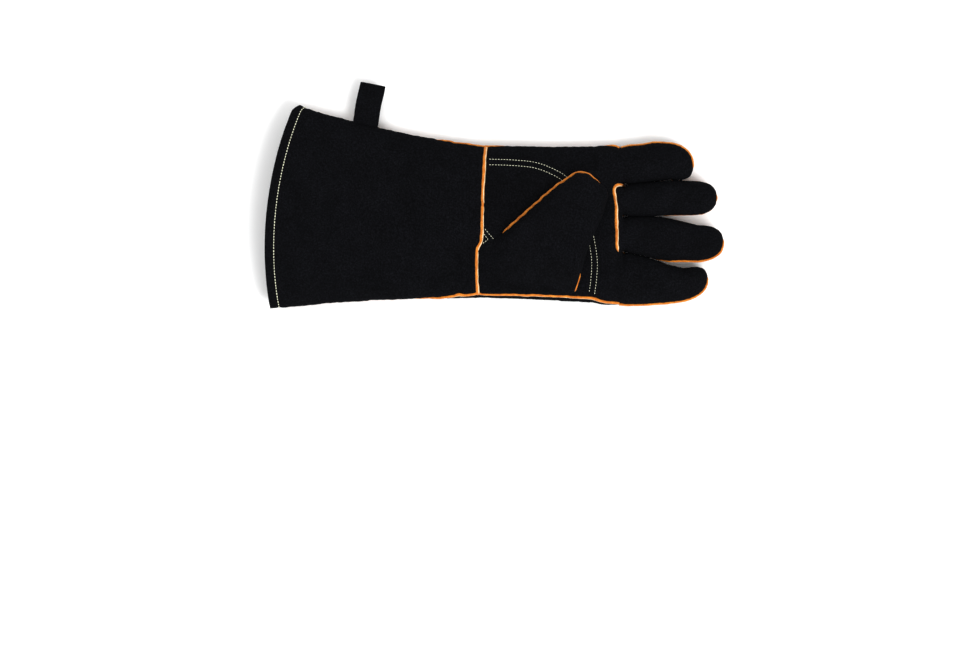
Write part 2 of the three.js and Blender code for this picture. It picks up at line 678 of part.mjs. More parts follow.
function makeThumb() {
  const baseSeams = { lowShare: FINGER_SEAM, highShare: FINGER_SEAM, lowHalf: BUTT_HALF };
  const tipSeams = { lowShare: FINGER_SEAM, highShare: FINGER_SEAM };
  const base = (side) => (u, v, depth) =>
    thumbBasePoint(u, depth, (section, inner) => panelPoint(section, side, v, inner, baseSeams));
  const tip = (side) => (u, v, depth) =>
    thumbTipPoint(u, depth, (section, inner) => panelPoint(section, side, v, inner, tipSeams));
  const baseTube = (u, v, depth) =>
    thumbBasePoint(u, depth, (section, inner) => sectionPoint(section, 2 * Math.PI * v, inner));
  const tipTube = (u, v, depth) =>
    thumbTipPoint(u, depth, (section, inner) => sectionPoint(section, 2 * Math.PI * v, inner));
  add(thumb, "thumb_wing", thumbWing(), COLOURS.leather);
  add(thumb, "thumb_base_outer", layer(base(1), 0, LEATHER, ...THUMB_BASE_STEPS), COLOURS.leather);
  add(thumb, "thumb_base_inner", layer(base(-1), 0, LEATHER, ...THUMB_BASE_STEPS), COLOURS.leather);
  add(thumb, "thumb_base_lining", tubeLining(baseTube, LINING_BASE_STEPS), COLOURS.fleece);
  add(thumb, "thumb_base_welt", thumbBaseWelt(), COLOURS.welt);
  add(thumb, "thumb_tip_outer", layer(tip(1), 0, LEATHER, ...THUMB_TIP_STEPS), COLOURS.leather);
  add(thumb, "thumb_tip_inner", layer(tip(-1), 0, LEATHER, ...THUMB_TIP_STEPS), COLOURS.leather);
  add(thumb, "thumb_tip_lining", tubeLining(tipTube, LINING_TIP_STEPS, true), COLOURS.fleece);
  add(thumb, "thumb_tip_welt", thumbTipWelt(), COLOURS.welt);
}

// ---- Assembly -------------------------------------------------------------------------------

makeHand();
makeCuff();
makeLoop();
makeThumb();
for (const [name, finger] of Object.entries(FINGERS)) makeFinger(name, finger);

thumb.position.set(THUMB_ROOT.x, THUMB_ROOT.y, 0);
thumb.rotation.z = THUMB_ROOT.turn;
loop.position.set(LOOP_ROOT.x, LOOP_ROOT.y, LOOP_ROOT.z);
loop.rotation.z = LOOP_ROOT.turn;
hand.position.set(HAND_FRAME.x, HAND_FRAME.y, 0);
hand.add(thumb, loop);
glove.add(hand);

export default glove;
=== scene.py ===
"""Long heat resistant glove of black split leather, palm up, with the thumb folded over the palm.

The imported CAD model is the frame. The skin of the glove is lofted, remeshed, puffed by a short cloth
simulation, wrinkled and grooved along its seams, and then parted where the joints need it. Lengths in
this script are millimetres in the hand frame, whose origin is on the table under the wrist's fold,
unless a name says otherwise; place() turns them into metres in the row frame.
"""

import json
import math

import bmesh
import bpy
import numpy as np
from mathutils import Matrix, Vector, noise
from mathutils.bvhtree import BVHTree
from mathutils.kdtree import KDTree


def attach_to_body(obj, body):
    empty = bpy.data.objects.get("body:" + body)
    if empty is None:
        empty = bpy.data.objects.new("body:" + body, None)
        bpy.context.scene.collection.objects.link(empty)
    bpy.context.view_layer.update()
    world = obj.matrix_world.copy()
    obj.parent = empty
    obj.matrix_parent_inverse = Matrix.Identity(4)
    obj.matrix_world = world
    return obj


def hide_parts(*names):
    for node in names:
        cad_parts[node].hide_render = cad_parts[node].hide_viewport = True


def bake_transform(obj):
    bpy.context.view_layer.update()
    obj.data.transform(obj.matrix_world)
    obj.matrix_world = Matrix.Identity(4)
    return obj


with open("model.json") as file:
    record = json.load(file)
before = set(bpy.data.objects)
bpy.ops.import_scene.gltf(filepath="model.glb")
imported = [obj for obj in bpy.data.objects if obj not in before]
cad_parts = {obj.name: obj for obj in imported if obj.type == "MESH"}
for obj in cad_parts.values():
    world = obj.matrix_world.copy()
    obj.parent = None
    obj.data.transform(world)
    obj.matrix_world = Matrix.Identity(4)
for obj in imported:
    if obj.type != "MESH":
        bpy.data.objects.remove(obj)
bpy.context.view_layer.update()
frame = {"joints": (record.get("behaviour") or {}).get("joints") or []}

MM = 0.001
JOINTS = {joint["name"]: joint for joint in frame["joints"]}
WRIST_FOLD = Vector(JOINTS["wrist_bend"]["pos_m"])
ORIGIN = np.array([WRIST_FOLD.x, WRIST_FOLD.y, 0.0])
FINGER_NAMES = ("index", "middle", "ring", "little")

# The glove's sections, and where they are.
ROUND = 2.3  # 2 would be an ellipse, and more is squarer
LEATHER = 1.5
HAND_END = 121.5
TABLE_CLEARANCE = 0.2
WRIST = (-69.5, 70.0, 24.0)  # low y, high y, top
KNUCKLES = (-73.5, 68.5, 22.0)
MOUTH = (-77.8, 104.4, 30.0)
MOUTH_REACH = (-192.4, -25.7, 0.00151)  # furthest x, the y it is at, curve
MOUTH_CORNER = (97.5, 6.5, 5.0)  # at the loop's side: the y where it starts, its width and depth
CUFF_WAIST = 22.0
CUFF_FLARE = 1.2
HEM = 8.0
HEM_LIFT = 1.8

# Fingers: (x, low y, high y) stations from the root to where the tip begins to round, then the tip.
FINGERS = {
    "index": {"stations": [(100, -73.5, -25.0), (121, -73.6, -25.1), (140, -73.5, -29.8),
                           (155, -73.0, -33.4), (165, -72.4, -37.2), (178, -70.6, -40.4)],
              "tip": (200.0, -51.0), "outer": -1, "side_seam": True},
    "middle": {"stations": [(100, -24.6, 5.1), (121, -25.1, 5.2), (140, -29.4, 5.3), (155, -33.1, 5.1),
                            (165, -34.6, 4.0), (190, -35.2, -1.8)],
               "tip": (214.0, -17.5), "outer": -1, "side_seam": False},
    "ring": {"stations": [(100, 5.2, 32.6), (121, 5.2, 33.0), (150, 5.4, 36.0), (170, 6.4, 37.7),
                          (188, 6.5, 36.8)],
             "tip": (208.0, 22.0), "outer": 0, "side_seam": False},
    "little": {"stations": [(100, 32.9, 68.0), (121, 33.0, 67.4), (140, 35.0, 69.0), (152, 36.3, 71.4),
                            (167, 38.0, 70.8)],
               "tip": (187.5, 51.0), "outer": 1, "side_seam": True},
}
# Where each finger ends and the next begins, as (x, y) lines.
FINGER_BANDS = ([(119, -24.9), (140, -29.5), (155, -33.2), (170, -37.2), (215, -37.4)],
                [(119, 5.2), (155, 5.25), (190, 2.3), (215, 2.3)],
                [(119, 33.0), (150, 36.0), (167, 37.8), (187, 39.0), (215, 39.0)])
FINGER_TOP = 21.5
CROTCH_X = 124.5  # where the welts between the fingers start
SIM_SLACK = 3.2  # each side of a finger is drawn in by this much until the skin is made
WIDEN_FROM = (118.6, 121.0)  # the fingers are let out again over this x
KNUCKLES_FROM = (96.0, 110.0)  # and the hand over this one
FINGER_CONTACT = 0.4  # neighbours press into each other by this much near their roots

# Thumb frame: along it from the fold at its root, and across it to its left.
THUMB_ROOT = np.array([58.1, -19.6])
THUMB_TURN = math.radians(51.7)
THUMB_U = np.array([math.cos(THUMB_TURN), math.sin(THUMB_TURN)])
THUMB_V = np.array([-math.sin(THUMB_TURN), math.cos(THUMB_TURN)])


def place(points):
    """Hand frame millimetres to row frame metres."""
    return np.asarray(points, float) * MM + ORIGIN


def smoothstep(value, low, high):
    t = np.clip((np.asarray(value, float) - low) / (high - low), 0, 1)
    return t * t * (3 - 2 * t)


def signed_power(value, power):
    return np.sign(value) * np.abs(value) ** power


def unit(vectors):
    return vectors / np.maximum(np.linalg.norm(vectors, axis=-1, keepdims=True), 1e-12)


def left_of(plan):
    """The unit vector to the left at each point of a plan line."""
    ahead = unit(np.gradient(plan, axis=0))
    return np.column_stack([-ahead[:, 1], ahead[:, 0]])


def distances(line):
    """How far along the line each of its points is."""
    return np.concatenate([[0], np.cumsum(np.linalg.norm(np.diff(line, axis=0), axis=1))])


def point_tree(points):
    tree = KDTree(len(points))
    for i, point in enumerate(points):
        tree.insert(Vector(point), i)
    tree.balance()
    return tree


def ring_at(x, y, z):
    """One closed ring of points. x may be one number for the whole ring."""
    return np.column_stack(np.broadcast_arrays(x, y, z))


# ---- Meshes -----------------------------------------------------------------------------------


def new_object(name, points, faces):
    """A smoothly shaded object of hand frame millimetres."""
    mesh = bpy.data.meshes.new(name)
    mesh.from_pydata([tuple(p) for p in place(points)], [], [tuple(f) for f in faces])
    mesh.validate()
    mesh.shade_smooth()
    obj = bpy.data.objects.new(name, mesh)
    bpy.context.scene.collection.objects.link(obj)
    return obj


def points_of(obj):
    """The object's vertices, in hand frame millimetres."""
    flat = np.empty(len(obj.data.vertices) * 3)
    obj.data.vertices.foreach_get("co", flat)
    return (flat.reshape(-1, 3) - ORIGIN) / MM


def set_points(obj, points):
    obj.data.vertices.foreach_set("co", place(points).ravel())
    obj.data.update()


def apply_modifiers(obj):
    graph = bpy.context.evaluated_depsgraph_get()
    mesh = bpy.data.meshes.new_from_object(obj.evaluated_get(graph), depsgraph=graph)
    obj.modifiers.clear()
    old = obj.data
    obj.data = mesh
    bpy.data.meshes.remove(old)


def voxel_remesh(obj, size):
    modifier = obj.modifiers.new("remesh", "REMESH")
    modifier.mode = "VOXEL"
    modifier.voxel_size = size * MM
    apply_modifiers(obj)


def subdivide(obj):
    obj.modifiers.new("subdivision", "SUBSURF").levels = 1
    apply_modifiers(obj)


def relax(obj, times):
    obj.modifiers.new("smooth", "SMOOTH").iterations = times
    apply_modifiers(obj)


def loft(rings):
    """Points and faces of a closed body through rings of equal length."""
    rings = [np.asarray(ring, float) for ring in rings]
    count = len(rings[0])
    points = np.concatenate(rings)
    faces = []
    for i in range(len(rings) - 1):
        for j in range(count):
            k = (j + 1) % count
            faces.append((i * count + j, i * count + k, (i + 1) * count + k, (i + 1) * count + j))
    faces.append(tuple(range(count))[::-1])
    faces.append(tuple((len(rings) - 1) * count + j for j in range(count)))
    return points, faces


def merged(bodies):
    points = []
    faces = []
    for body_points, body_faces in bodies:
        start = sum(len(p) for p in points)
        points.append(body_points)
        faces += [tuple(start + i for i in face) for face in body_faces]
    return np.concatenate(points), faces


def oval(low, high, bottom, top, count=56):
    """(y, z) of a rounded slab section, flat where it would pass below its bottom."""
    angle = np.linspace(0, 2 * math.pi, count, endpoint=False)
    half_width = (high - low) / 2
    half_height = (top - bottom) / 2
    y = (low + high) / 2 + half_width * signed_power(np.cos(angle), 2 / ROUND)
    z = bottom + half_height - 0.4 + (half_height + 0.4) * signed_power(np.sin(angle), 2 / ROUND)
    return y, np.maximum(z, bottom)


# ---- The lofted bodies ------------------------------------------------------------------------


def hand_limits(x):
    t = smoothstep(x, 0, HAND_END)
    return tuple(a + (b - a) * t for a, b in zip(WRIST, KNUCKLES))


def limits_at(x):
    """Low y, high y, top and bottom of the cuff or the hand at each x."""
    x = np.asarray(x, float)
    cuff = cuff_limits(np.clip(x / MOUTH_REACH[0], 0, 1.1))
    hand = (*hand_limits(x), 0.0)
    return tuple(np.where(x < 0, a, b) for a, b in zip(cuff, hand))


def cuff_limits(t):
    low = WRIST[0] + (MOUTH[0] - WRIST[0]) * t**2
    high = WRIST[1] + (MOUTH[1] - WRIST[1]) * t**CUFF_FLARE
    waist = WRIST[2] + (CUFF_WAIST - WRIST[2]) * smoothstep(t, 0, 0.4)
    top = waist + (MOUTH[2] - waist) * smoothstep(t, 0.4, 1)
    return low, high, top, HEM_LIFT * smoothstep(t, 0.75, 1)


def mouth_x(y):
    reach, reach_y, curve = MOUTH_REACH
    start, width, depth = MOUTH_CORNER
    corner = depth * np.clip((np.asarray(y) - start) / width, 0, 1.3) ** 2
    return reach + curve * (np.asarray(y) - reach_y) ** 2 + corner


def sleeve_body():
    rings = []
    for t in np.linspace(1.05, 0, 34):
        low, high, top, bottom = cuff_limits(t)
        y, z = oval(low, high, bottom, top)
        rings.append(ring_at(mouth_x(y) * t, y, z))
    for x in np.linspace(6, HAND_END - 3, 18):
        low, high, top = hand_limits(x)
        y, z = oval(low, high, 0, top)
        rings.append(ring_at(x, y, z))
    low, high, top = hand_limits(HAND_END)
    for x, inset in ((HAND_END, 1.5), (HAND_END + 1.5, 4.5)):
        y, z = oval(low + inset, high - inset, inset, top - inset)
        rings.append(ring_at(x, y, z))
    return loft(rings)


def finger_body(finger, slack):
    stations = finger["stations"]
    xs = [station[0] for station in stations]
    lows = [station[1] for station in stations]
    highs = [station[2] for station in stations]
    tip_x, tip_y = finger["tip"]
    rings = []
    for x in np.linspace(xs[0], xs[-1], 22):
        low = np.interp(x, xs, lows) + slack
        high = np.interp(x, xs, highs) - slack
        y, z = oval(low, high, 0, FINGER_TOP, 40)
        rings.append(ring_at(x, y, z))
    reach = tip_x - xs[-1]
    for turn in np.radians([10, 20, 30, 40, 50, 60, 70, 78, 84]):
        x = xs[-1] + reach * math.sin(turn) ** 0.95
        width = math.cos(turn) ** 0.7
        height = math.cos(turn) ** 0.55
        root_middle = (lows[-1] + highs[-1]) / 2
        middle = root_middle + (tip_y - root_middle) * math.sin(turn)
        half = ((highs[-1] - lows[-1]) / 2 - slack) * width
        centre = FINGER_TOP / 2
        y, z = oval(middle - half, middle + half, centre * (1 - height), centre * (1 + height), 40)
        rings.append(ring_at(x, y, z))
    return loft(rings)


def palm_height(x, y):
    """The height of the palm's top before the skin is puffed."""
    low, high, top = hand_limits(x)
    across = np.minimum(1, np.abs(y - (low + high) / 2) / ((high - low) / 2))
    return top / 2 - 0.4 + (top / 2 + 0.4) * (1 - across**ROUND) ** (1 / ROUND)


# Lateral limits of the thumb and its wing at each distance along the thumb frame.
THUMB_LEFT = [(-75, 19.4), (-39, 45.5), (-12.4, 38.0), (7.9, 34.2), (28.8, 30.2), (45.3, 27.0), (60.5, 22.0)]
THUMB_RIGHT = [(-75, 22.8), (-57, 0), (-39, -22.7), (-18.9, -46.5), (-6.3, -41), (7.5, -35.4), (17.6, -31),
               (31.3, -26.8), (50.7, -22.3), (60.5, -17.5)]
THUMB_TIP = (71.0, -1.0)
THUMB_HEIGHT = 15.0
PALM_TO_THUMB = 1.7
WING_SEAM_RISE = 46.0
WING_WRIST_RISE = 34.0


def thumb_plan(along, across):
    """Thumb frame to hand frame."""
    along = np.asarray(along, float)
    across = np.asarray(across, float)
    return THUMB_ROOT + along[..., None] * THUMB_U + across[..., None] * THUMB_V


def thumb_limits(along):
    left = np.interp(along, *zip(*THUMB_LEFT))
    right = np.interp(along, *zip(*THUMB_RIGHT))
    start = THUMB_LEFT[-1][0]
    if along > start:
        turn = (along - start) / (THUMB_TIP[0] - start)
        share = max(0.0, 1 - turn**2.2) ** (1 / 2.2)
        left = THUMB_TIP[1] + (left - THUMB_TIP[1]) * share
        right = THUMB_TIP[1] + (right - THUMB_TIP[1]) * share
    return right, left


def thumb_body():
    """The thumb and its wing, as one pillow over the palm."""
    alongs = list(np.arange(-73, 58, 2.5)) + [60, 62.5, 65, 67, 68.6, 69.8, 70.6]
    shares = np.linspace(0, 1, 31)
    tops = []
    bottoms = []
    for along in alongs:
        right, left = thumb_limits(along)
        across = right + (left - right) * shares
        plan = thumb_plan(np.full_like(across, along), across)
        edge = np.minimum(across - right, left - across)
        end = THUMB_TIP[0] - along
        edge = np.minimum(edge, max(end, 0.0))
        rounding = (1 - (1 - np.clip(edge / 10.0, 0, 1)) ** 2.2) ** (1 / 2.2)
        rise, free = wing_rise(along, plan[:, 0], plan[:, 1])
        sides = rounding * free + (1 - free) * np.clip((left - across) / 8, 0, 1) ** 0.5
        base = palm_height(plan[:, 0], np.clip(plan[:, 1], -66, 66)) + PALM_TO_THUMB
        lift = rise * sides
        tops.append(np.column_stack([plan, base + lift]))
        under = 0.4 + 0.28 * THUMB_HEIGHT * (1 - rounding) * free - 3.0 * (1 - free)
        bottoms.append(np.column_stack([plan, base + np.minimum(under, lift - 0.3)]))
    rings = [np.concatenate([top, bottom[::-1]]) for top, bottom in zip(tops, bottoms)]
    return loft(rings)


# ---- Cloth ------------------------------------------------------------------------------------


def puff(obj, pressure, frames, cap):
    """Inflates a closed skin a little by cloth simulation. No point moves further than cap."""
    before = points_of(obj)
    modifier = obj.modifiers.new("cloth", "CLOTH")
    settings = modifier.settings
    settings.quality = 5
    settings.mass = 0.25
    settings.tension_stiffness = 40
    settings.compression_stiffness = 40
    settings.shear_stiffness = 20
    settings.bending_stiffness = 4
    settings.use_pressure = True
    settings.uniform_pressure_force = pressure
    settings.effector_weights.gravity = 0
    modifier.point_cache.frame_start = 1
    modifier.point_cache.frame_end = frames
    scene = bpy.context.scene
    for number in range(1, frames + 1):
        scene.frame_set(number)
    apply_modifiers(obj)
    scene.frame_set(1)
    move = points_of(obj) - before
    length = np.linalg.norm(move, axis=1, keepdims=True)
    move *= np.minimum(1, cap / np.maximum(length, 1e-9))
    after = before + move
    after[:, 2] = np.maximum(after[:, 2], np.minimum(before[:, 2], 0.25))
    set_points(obj, after)


# ---- Skin -------------------------------------------------------------------------------------


def vertex_normals(points, faces):
    """Area-weighted vertex normals, where one that disagrees with its neighbours takes their average."""
    normals = np.zeros_like(points)
    by_size = {}
    for face in faces:
        by_size.setdefault(len(face), []).append(face)
    groups = [np.array(group) for group in by_size.values()]
    for group in groups:
        for k in range(1, group.shape[1] - 1):
            a, b, c = points[group[:, 0]], points[group[:, k]], points[group[:, k + 1]]
            area = np.cross(b - a, c - a)
            for corner in (0, k, k + 1):
                np.add.at(normals, group[:, corner], area)
    normals = unit(normals)
    around = np.zeros_like(points)
    for group in groups:
        for corner in group.T:
            np.add.at(around, corner, normals[group].sum(axis=1))
    around = unit(around)
    astray = (normals * around).sum(axis=1) < 0.6
    normals[astray] = around[astray]
    return normals


class Skin:
    """A surface in hand frame millimetres, which lines and patches can be laid on."""

    def __init__(self, points, faces):
        self.points = np.array(points, float)
        self.faces = [tuple(face) for face in faces]
        self.refresh()

    def refresh(self):
        self.normals = vertex_normals(self.points, self.faces)
        self.tree = BVHTree.FromPolygons([Vector(p) for p in self.points], self.faces)

    def centres(self):
        """The middle of each face."""
        sizes = np.array([len(face) for face in self.faces])
        flat = np.fromiter((i for face in self.faces for i in face), int)
        starts = np.concatenate([[0], np.cumsum(sizes)[:-1]])
        return np.add.reduceat(self.points[flat], starts) / sizes[:, None]

    def part(self, chosen):
        """Another Skin of the chosen faces only."""
        faces = [self.faces[i] for i in np.where(chosen)[0]]
        used = sorted({i for face in faces for i in face})
        index = {old: new for new, old in enumerate(used)}
        return Skin(self.points[used], [tuple(index[i] for i in face) for face in faces])

    def meet(self, start, direction, reach=1000, near=None):
        """Where a ray meets the surface, or if it meets none, the surface's place nearest to near."""
        hit = self.tree.ray_cast(Vector(start), Vector(direction), reach)
        return hit[:2] if hit[0] is not None else self.tree.find_nearest(Vector(near))[:2]

    def above(self, x, y):
        """The surface's top at a plan position, and its normal."""
        return self.meet((x, y, 200), (0, 0, -1), near=(x, y, 12))

    def lay(self, plan):
        """A plan line laid on the top."""
        return as_line(self.above(x, y) for x, y in plan)

    def wrap(self, line):
        """A space line pulled to the nearest surface."""
        return as_line(self.tree.find_nearest(Vector(point))[:2] for point in line)


def as_line(hits, times=4):
    """The points of a line on a surface and the softened normals there, from its (point, normal) hits."""
    line, normals = zip(*hits)
    return np.array(line), soften(normals, times)


def soften(values, times):
    """Averages each value along a line with its neighbours."""
    values = np.array(values, float)
    for _ in range(times):
        values[1:-1] = (values[:-2] + 2 * values[1:-1] + values[2:]) / 4
    return values


def noise_field(points, scale, seed, octaves):
    """Smooth noise from about -1 to 1 at each point. scale is the size of its lumps."""
    shift = Vector((seed * 17.3, seed * 5.1, seed * 9.7))
    return np.array([noise.fractal(Vector(p) / scale + shift, 1.0, 2.0, octaves) for p in points])


def resample(line, spacing):
    line = np.asarray(line, float)
    along = distances(line)
    count = max(2, int(round(along[-1] / spacing)) + 1)
    wanted = np.linspace(0, along[-1], count)
    return np.column_stack([np.interp(wanted, along, line[:, k]) for k in range(line.shape[1])])


def spline(points, spacing=0.8):
    """A smooth line through the points, resampled evenly (Catmull-Rom)."""
    p = np.asarray(points, float)
    ends = np.vstack([2 * p[0] - p[1], p, 2 * p[-1] - p[-2]])
    out = []
    for i in range(1, len(ends) - 2):
        a, b, c, d = ends[i - 1 : i + 3]
        square = 2 * a - 5 * b + 4 * c - d
        cube = 3 * b - a - 3 * c + d
        for t in np.linspace(0, 1, 16, endpoint=False):
            out.append(b + ((c - a) * t + square * t**2 + cube * t**3) / 2)
    out.append(p[-1])
    return resample(out, spacing)


def groove(skin, line, depth, width, pucker, pitch, seed):
    """Draws the skin in along a seam, with small puckers beside it."""
    tree = point_tree(line)
    spacing = np.linalg.norm(line[1] - line[0])
    reach = 4.5 * width
    inside = (skin.points > line.min(0) - reach) & (skin.points < line.max(0) + reach)
    phase = np.random.default_rng(seed).uniform(0, 6.28, 2)
    for i in np.where(inside.all(axis=1))[0]:
        _, index, distance = tree.find(Vector(skin.points[i]))
        if distance > reach:
            continue
        turn = 2 * math.pi * index * spacing / pitch
        wave = math.sin(turn + phase[0]) + 0.6 * math.sin(turn * 0.59 + phase[1])
        fall = math.exp(-((distance / width) ** 2))
        ruffle = pucker * wave * math.exp(-(((distance - width) / (1.6 * width)) ** 2))
        skin.points[i] += skin.normals[i] * (ruffle - depth * fall)


# ---- Cutting ----------------------------------------------------------------------------------


def bisect(body, point, normal, min_x=-1e9, clear=False):
    chosen = [v for v in body.verts if v.co.x > min_x]
    chosen_set = set(chosen)
    edges = [e for e in body.edges if e.verts[0] in chosen_set and e.verts[1] in chosen_set]
    edge_set = set(edges)
    faces = [f for f in body.faces if all(e in edge_set for e in f.edges)]
    bmesh.ops.bisect_plane(body, geom=chosen + edges + faces, plane_co=point, plane_no=normal,
                           clear_outer=clear, dist=1e-4)


def bisect_sheared(body, axis, amount, normal, **how):
    """Cuts along a curved surface: the mesh is sheared along axis by amount, cut flat and sheared back."""
    for sign in (-1, 1):
        points = np.array([vertex.co[:] for vertex in body.verts])
        for vertex, move in zip(body.verts, amount(*points.T)):
            vertex.co[axis] += sign * move
        if sign < 0:
            bisect(body, (0, 0, 0), normal, **how)


def opened(obj):
    """The object's mesh as a bmesh in hand frame millimetres."""
    body = bmesh.new()
    body.from_mesh(obj.data)
    for vertex, point in zip(body.verts, points_of(obj)):
        vertex.co = Vector(point)
    return body


def closed(body):
    body.verts.index_update()
    points = np.array([vertex.co[:] for vertex in body.verts])
    faces = [tuple(vertex.index for vertex in face.verts) for face in body.faces]
    body.free()
    return Skin(points, faces)


def shade(obj, normals, count):
    """Shades outer and inner faces by the whole skin's normals, so that no cut shows, and the rim flat."""
    mesh = obj.data
    corner = np.empty(len(mesh.loops), int)
    mesh.loops.foreach_get("vertex_index", corner)
    starts = np.empty(len(mesh.polygons), int)
    mesh.polygons.foreach_get("loop_start", starts)
    sizes = np.diff(np.append(starts, len(corner)))
    flat = np.empty(len(mesh.polygons) * 3)
    mesh.polygons.foreach_get("normal", flat)
    on_rim = (np.minimum.reduceat(corner, starts) < count) & (np.maximum.reduceat(corner, starts) >= count)
    face_normals = np.repeat(flat.reshape(-1, 3), sizes, axis=0)
    loops = np.where(np.repeat(on_rim, sizes)[:, None], face_normals, normals[corner])
    mesh.normals_split_custom_set(loops.tolist())


def thickened(top, count):
    """The faces of a closed sheet: the top ones, the same ones count vertices further on, and a rim."""
    under = [tuple(i + count for i in face[::-1]) for face in top]
    directed = {(a, b) for face in top for a, b in zip(face, face[1:] + face[:1])}
    rim = [(b, a, a + count, b + count) for a, b in sorted(directed) if (b, a) not in directed]
    return top + under + rim


def skin_piece(name, skin, chosen, thickness, surface, slot, depth=0.0):
    """A closed piece of the skin: outer face, inner face and rim. depth sinks its outer face."""
    faces = [skin.faces[i] for i in np.where(chosen)[0]]
    used = sorted({i for face in faces for i in face})
    index = {old: new for new, old in enumerate(used)}
    count = len(used)
    normals = skin.normals[used]
    thick = np.asarray(thickness)[used][:, None] if np.ndim(thickness) else thickness
    outer = skin.points[used] - normals * depth
    inner = outer - normals * thick
    inner[:, 2] = np.maximum(inner[:, 2], TABLE_CLEARANCE)
    top = [tuple(index[i] for i in face) for face in faces]
    obj = new_object(name, np.vstack([outer, inner]), thickened(top, count))
    obj.data.materials.append(surface)
    shade(obj, np.vstack([normals, -normals]), count)
    return obj


# ---- Strips, threads and patches --------------------------------------------------------------

# A welt's section: across it from left to right, height above the seam, and if it is the cut edge.
WELT_SECTION = [(-1.0, -0.35, 0), (-1.0, 0.2, 0), (-0.8, 0.7, 0), (-0.4, 0.98, 0), (0.05, 0.98, 0),
                (0.22, 0.74, 0), (0.26, 0.72, 1), (0.5, 0.82, 1), (0.8, 0.66, 1), (0.84, 0.6, 0),
                (1.0, 0.15, 0), (0.95, -0.4, 0), (0.3, -0.8, 0), (-0.5, -0.8, 0)]
# Each kind of welt: how far it stands above the seam, half its width, and its height.
WRIST_WELT = (0.7, 1.65, 1.35)
FINGER_FOOT_WELT = (0.6, 1.55, 1.35)
SIDE_WELT = (0.5, 1.5, 1.3)
FINGER_WELT = (0.48, 1.35, 1.2)
CROTCH_WELT = (0.28, 0.9, 0.7)
THUMB_WELT = (0.5, 1.85, 1.7)
THUMB_FOOT_WELT = (0.2, 0.65, 0.7)


def along_normals(line, normals):
    """Unit direction, left and up at each point of a line."""
    direction = unit(np.gradient(line, axis=0))
    up = unit(normals - direction * (normals * direction).sum(1, keepdims=True))
    return direction, np.cross(up, direction), up


def welt(name, line, normals, kind, cream=0, fade=(0, 0), seed=3):
    """A folded strip sewn into a seam. cream is the side of its pale cut edge: 1 right, -1 left, 0 none.
    fade is the length over which each of its ends thins out."""
    above_seam, half, rise = kind
    line = line + normals * above_seam
    direction, left, up = along_normals(line, normals)
    along = distances(line)
    phases = np.random.default_rng(seed).uniform(0, 6.28, 6)
    waves = [np.sin(along / length + phase) for length, phase in zip((1.9, 4.3, 9.1, 1.3, 3.1, 7.7), phases)]
    width = 1 + 0.05 * waves[0] + 0.05 * waves[1] + 0.05 * waves[2]
    height = 1 + 0.06 * waves[3] + 0.06 * waves[4]
    shift = 0.12 * waves[1] + 0.18 * waves[5]
    taper = np.ones(len(line))
    for from_end, length in zip((along, along[-1] - along), fade):
        if length:
            taper *= np.clip(from_end / length, 0.08, 1) ** 0.6
    turn = 1 if cream >= 0 else -1
    rings = []
    for i in range(len(line)):
        ring = []
        for across, lift, _ in WELT_SECTION:
            side = -across * turn * half * width[i] * taper[i] + shift[i] * taper[i]
            ring.append(line[i] + left[i] * side + up[i] * lift * rise * height[i] * taper[i])
        rings.append(ring if turn > 0 else ring[::-1])
    points, faces = loft(rings)
    obj = new_object(name, points, faces)
    obj.data.materials.append(ORANGE)
    obj.data.materials.append(CREAM)
    count = len(WELT_SECTION)
    edge = [bool(section[2]) for section in WELT_SECTION]
    if turn < 0:
        edge = edge[::-1]
    for number, polygon in enumerate(obj.data.polygons):
        k = number % count
        if cream and number < count * (len(line) - 1) and edge[k] and edge[(k + 1) % count]:
            polygon.material_index = 1
    return obj


def bead_shape():
    """One stitch of thread, two units long and thick."""
    rings = []
    angle = np.linspace(0, 2 * math.pi, 8, endpoint=False)
    for step in (-0.95, -0.7, 0.0, 0.7, 0.95):
        radius = (1 - abs(step) ** 2.6) ** (1 / 2.6)
        rings.append(ring_at(step, radius * np.cos(angle), radius * np.sin(angle)))
    return loft(rings)


STITCH_PITCH = 2.55
STITCH = (0.82, 0.30, 0.30)  # half length, half width, half height
HEM_STITCH = (0.95, 0.46, 0.36)


def stitches(name, rows, lift, size, seed):
    """Rows of sewn thread, each a (line, normals) pair."""
    shape_points, shape_faces = bead_shape()
    rng = np.random.default_rng(seed)
    bodies = []
    for line, normals in rows:
        along = distances(line)
        direction, left, up = along_normals(line, normals)
        for place_along in np.arange(STITCH_PITCH / 2, along[-1], STITCH_PITCH):
            at = place_along + rng.normal(0, 0.06)
            pick = [np.array([np.interp(at, along, values[:, k]) for k in range(3)])
                    for values in (line, direction, left, up)]
            turn = rng.normal(0, 0.07)
            ahead = pick[1] * math.cos(turn) + pick[2] * math.sin(turn)
            across = np.cross(pick[3], ahead)
            shape = shape_points * size * rng.normal(1, 0.05, 3)
            centre = pick[0] + pick[3] * (lift + rng.normal(0, 0.03))
            bodies.append((centre + shape @ np.array([ahead, across, pick[3]]), shape_faces))
    obj = new_object(name, *merged(bodies))
    obj.data.materials.append(THREAD)
    return obj


# ---- Materials --------------------------------------------------------------------------------


def material(name):
    made = bpy.data.materials.new(name)
    made.use_nodes = True
    tree = made.node_tree
    shader = tree.nodes["Principled BSDF"]
    coordinates = tree.nodes.new("ShaderNodeTexCoord")
    return made, tree, shader, coordinates.outputs["Object"]


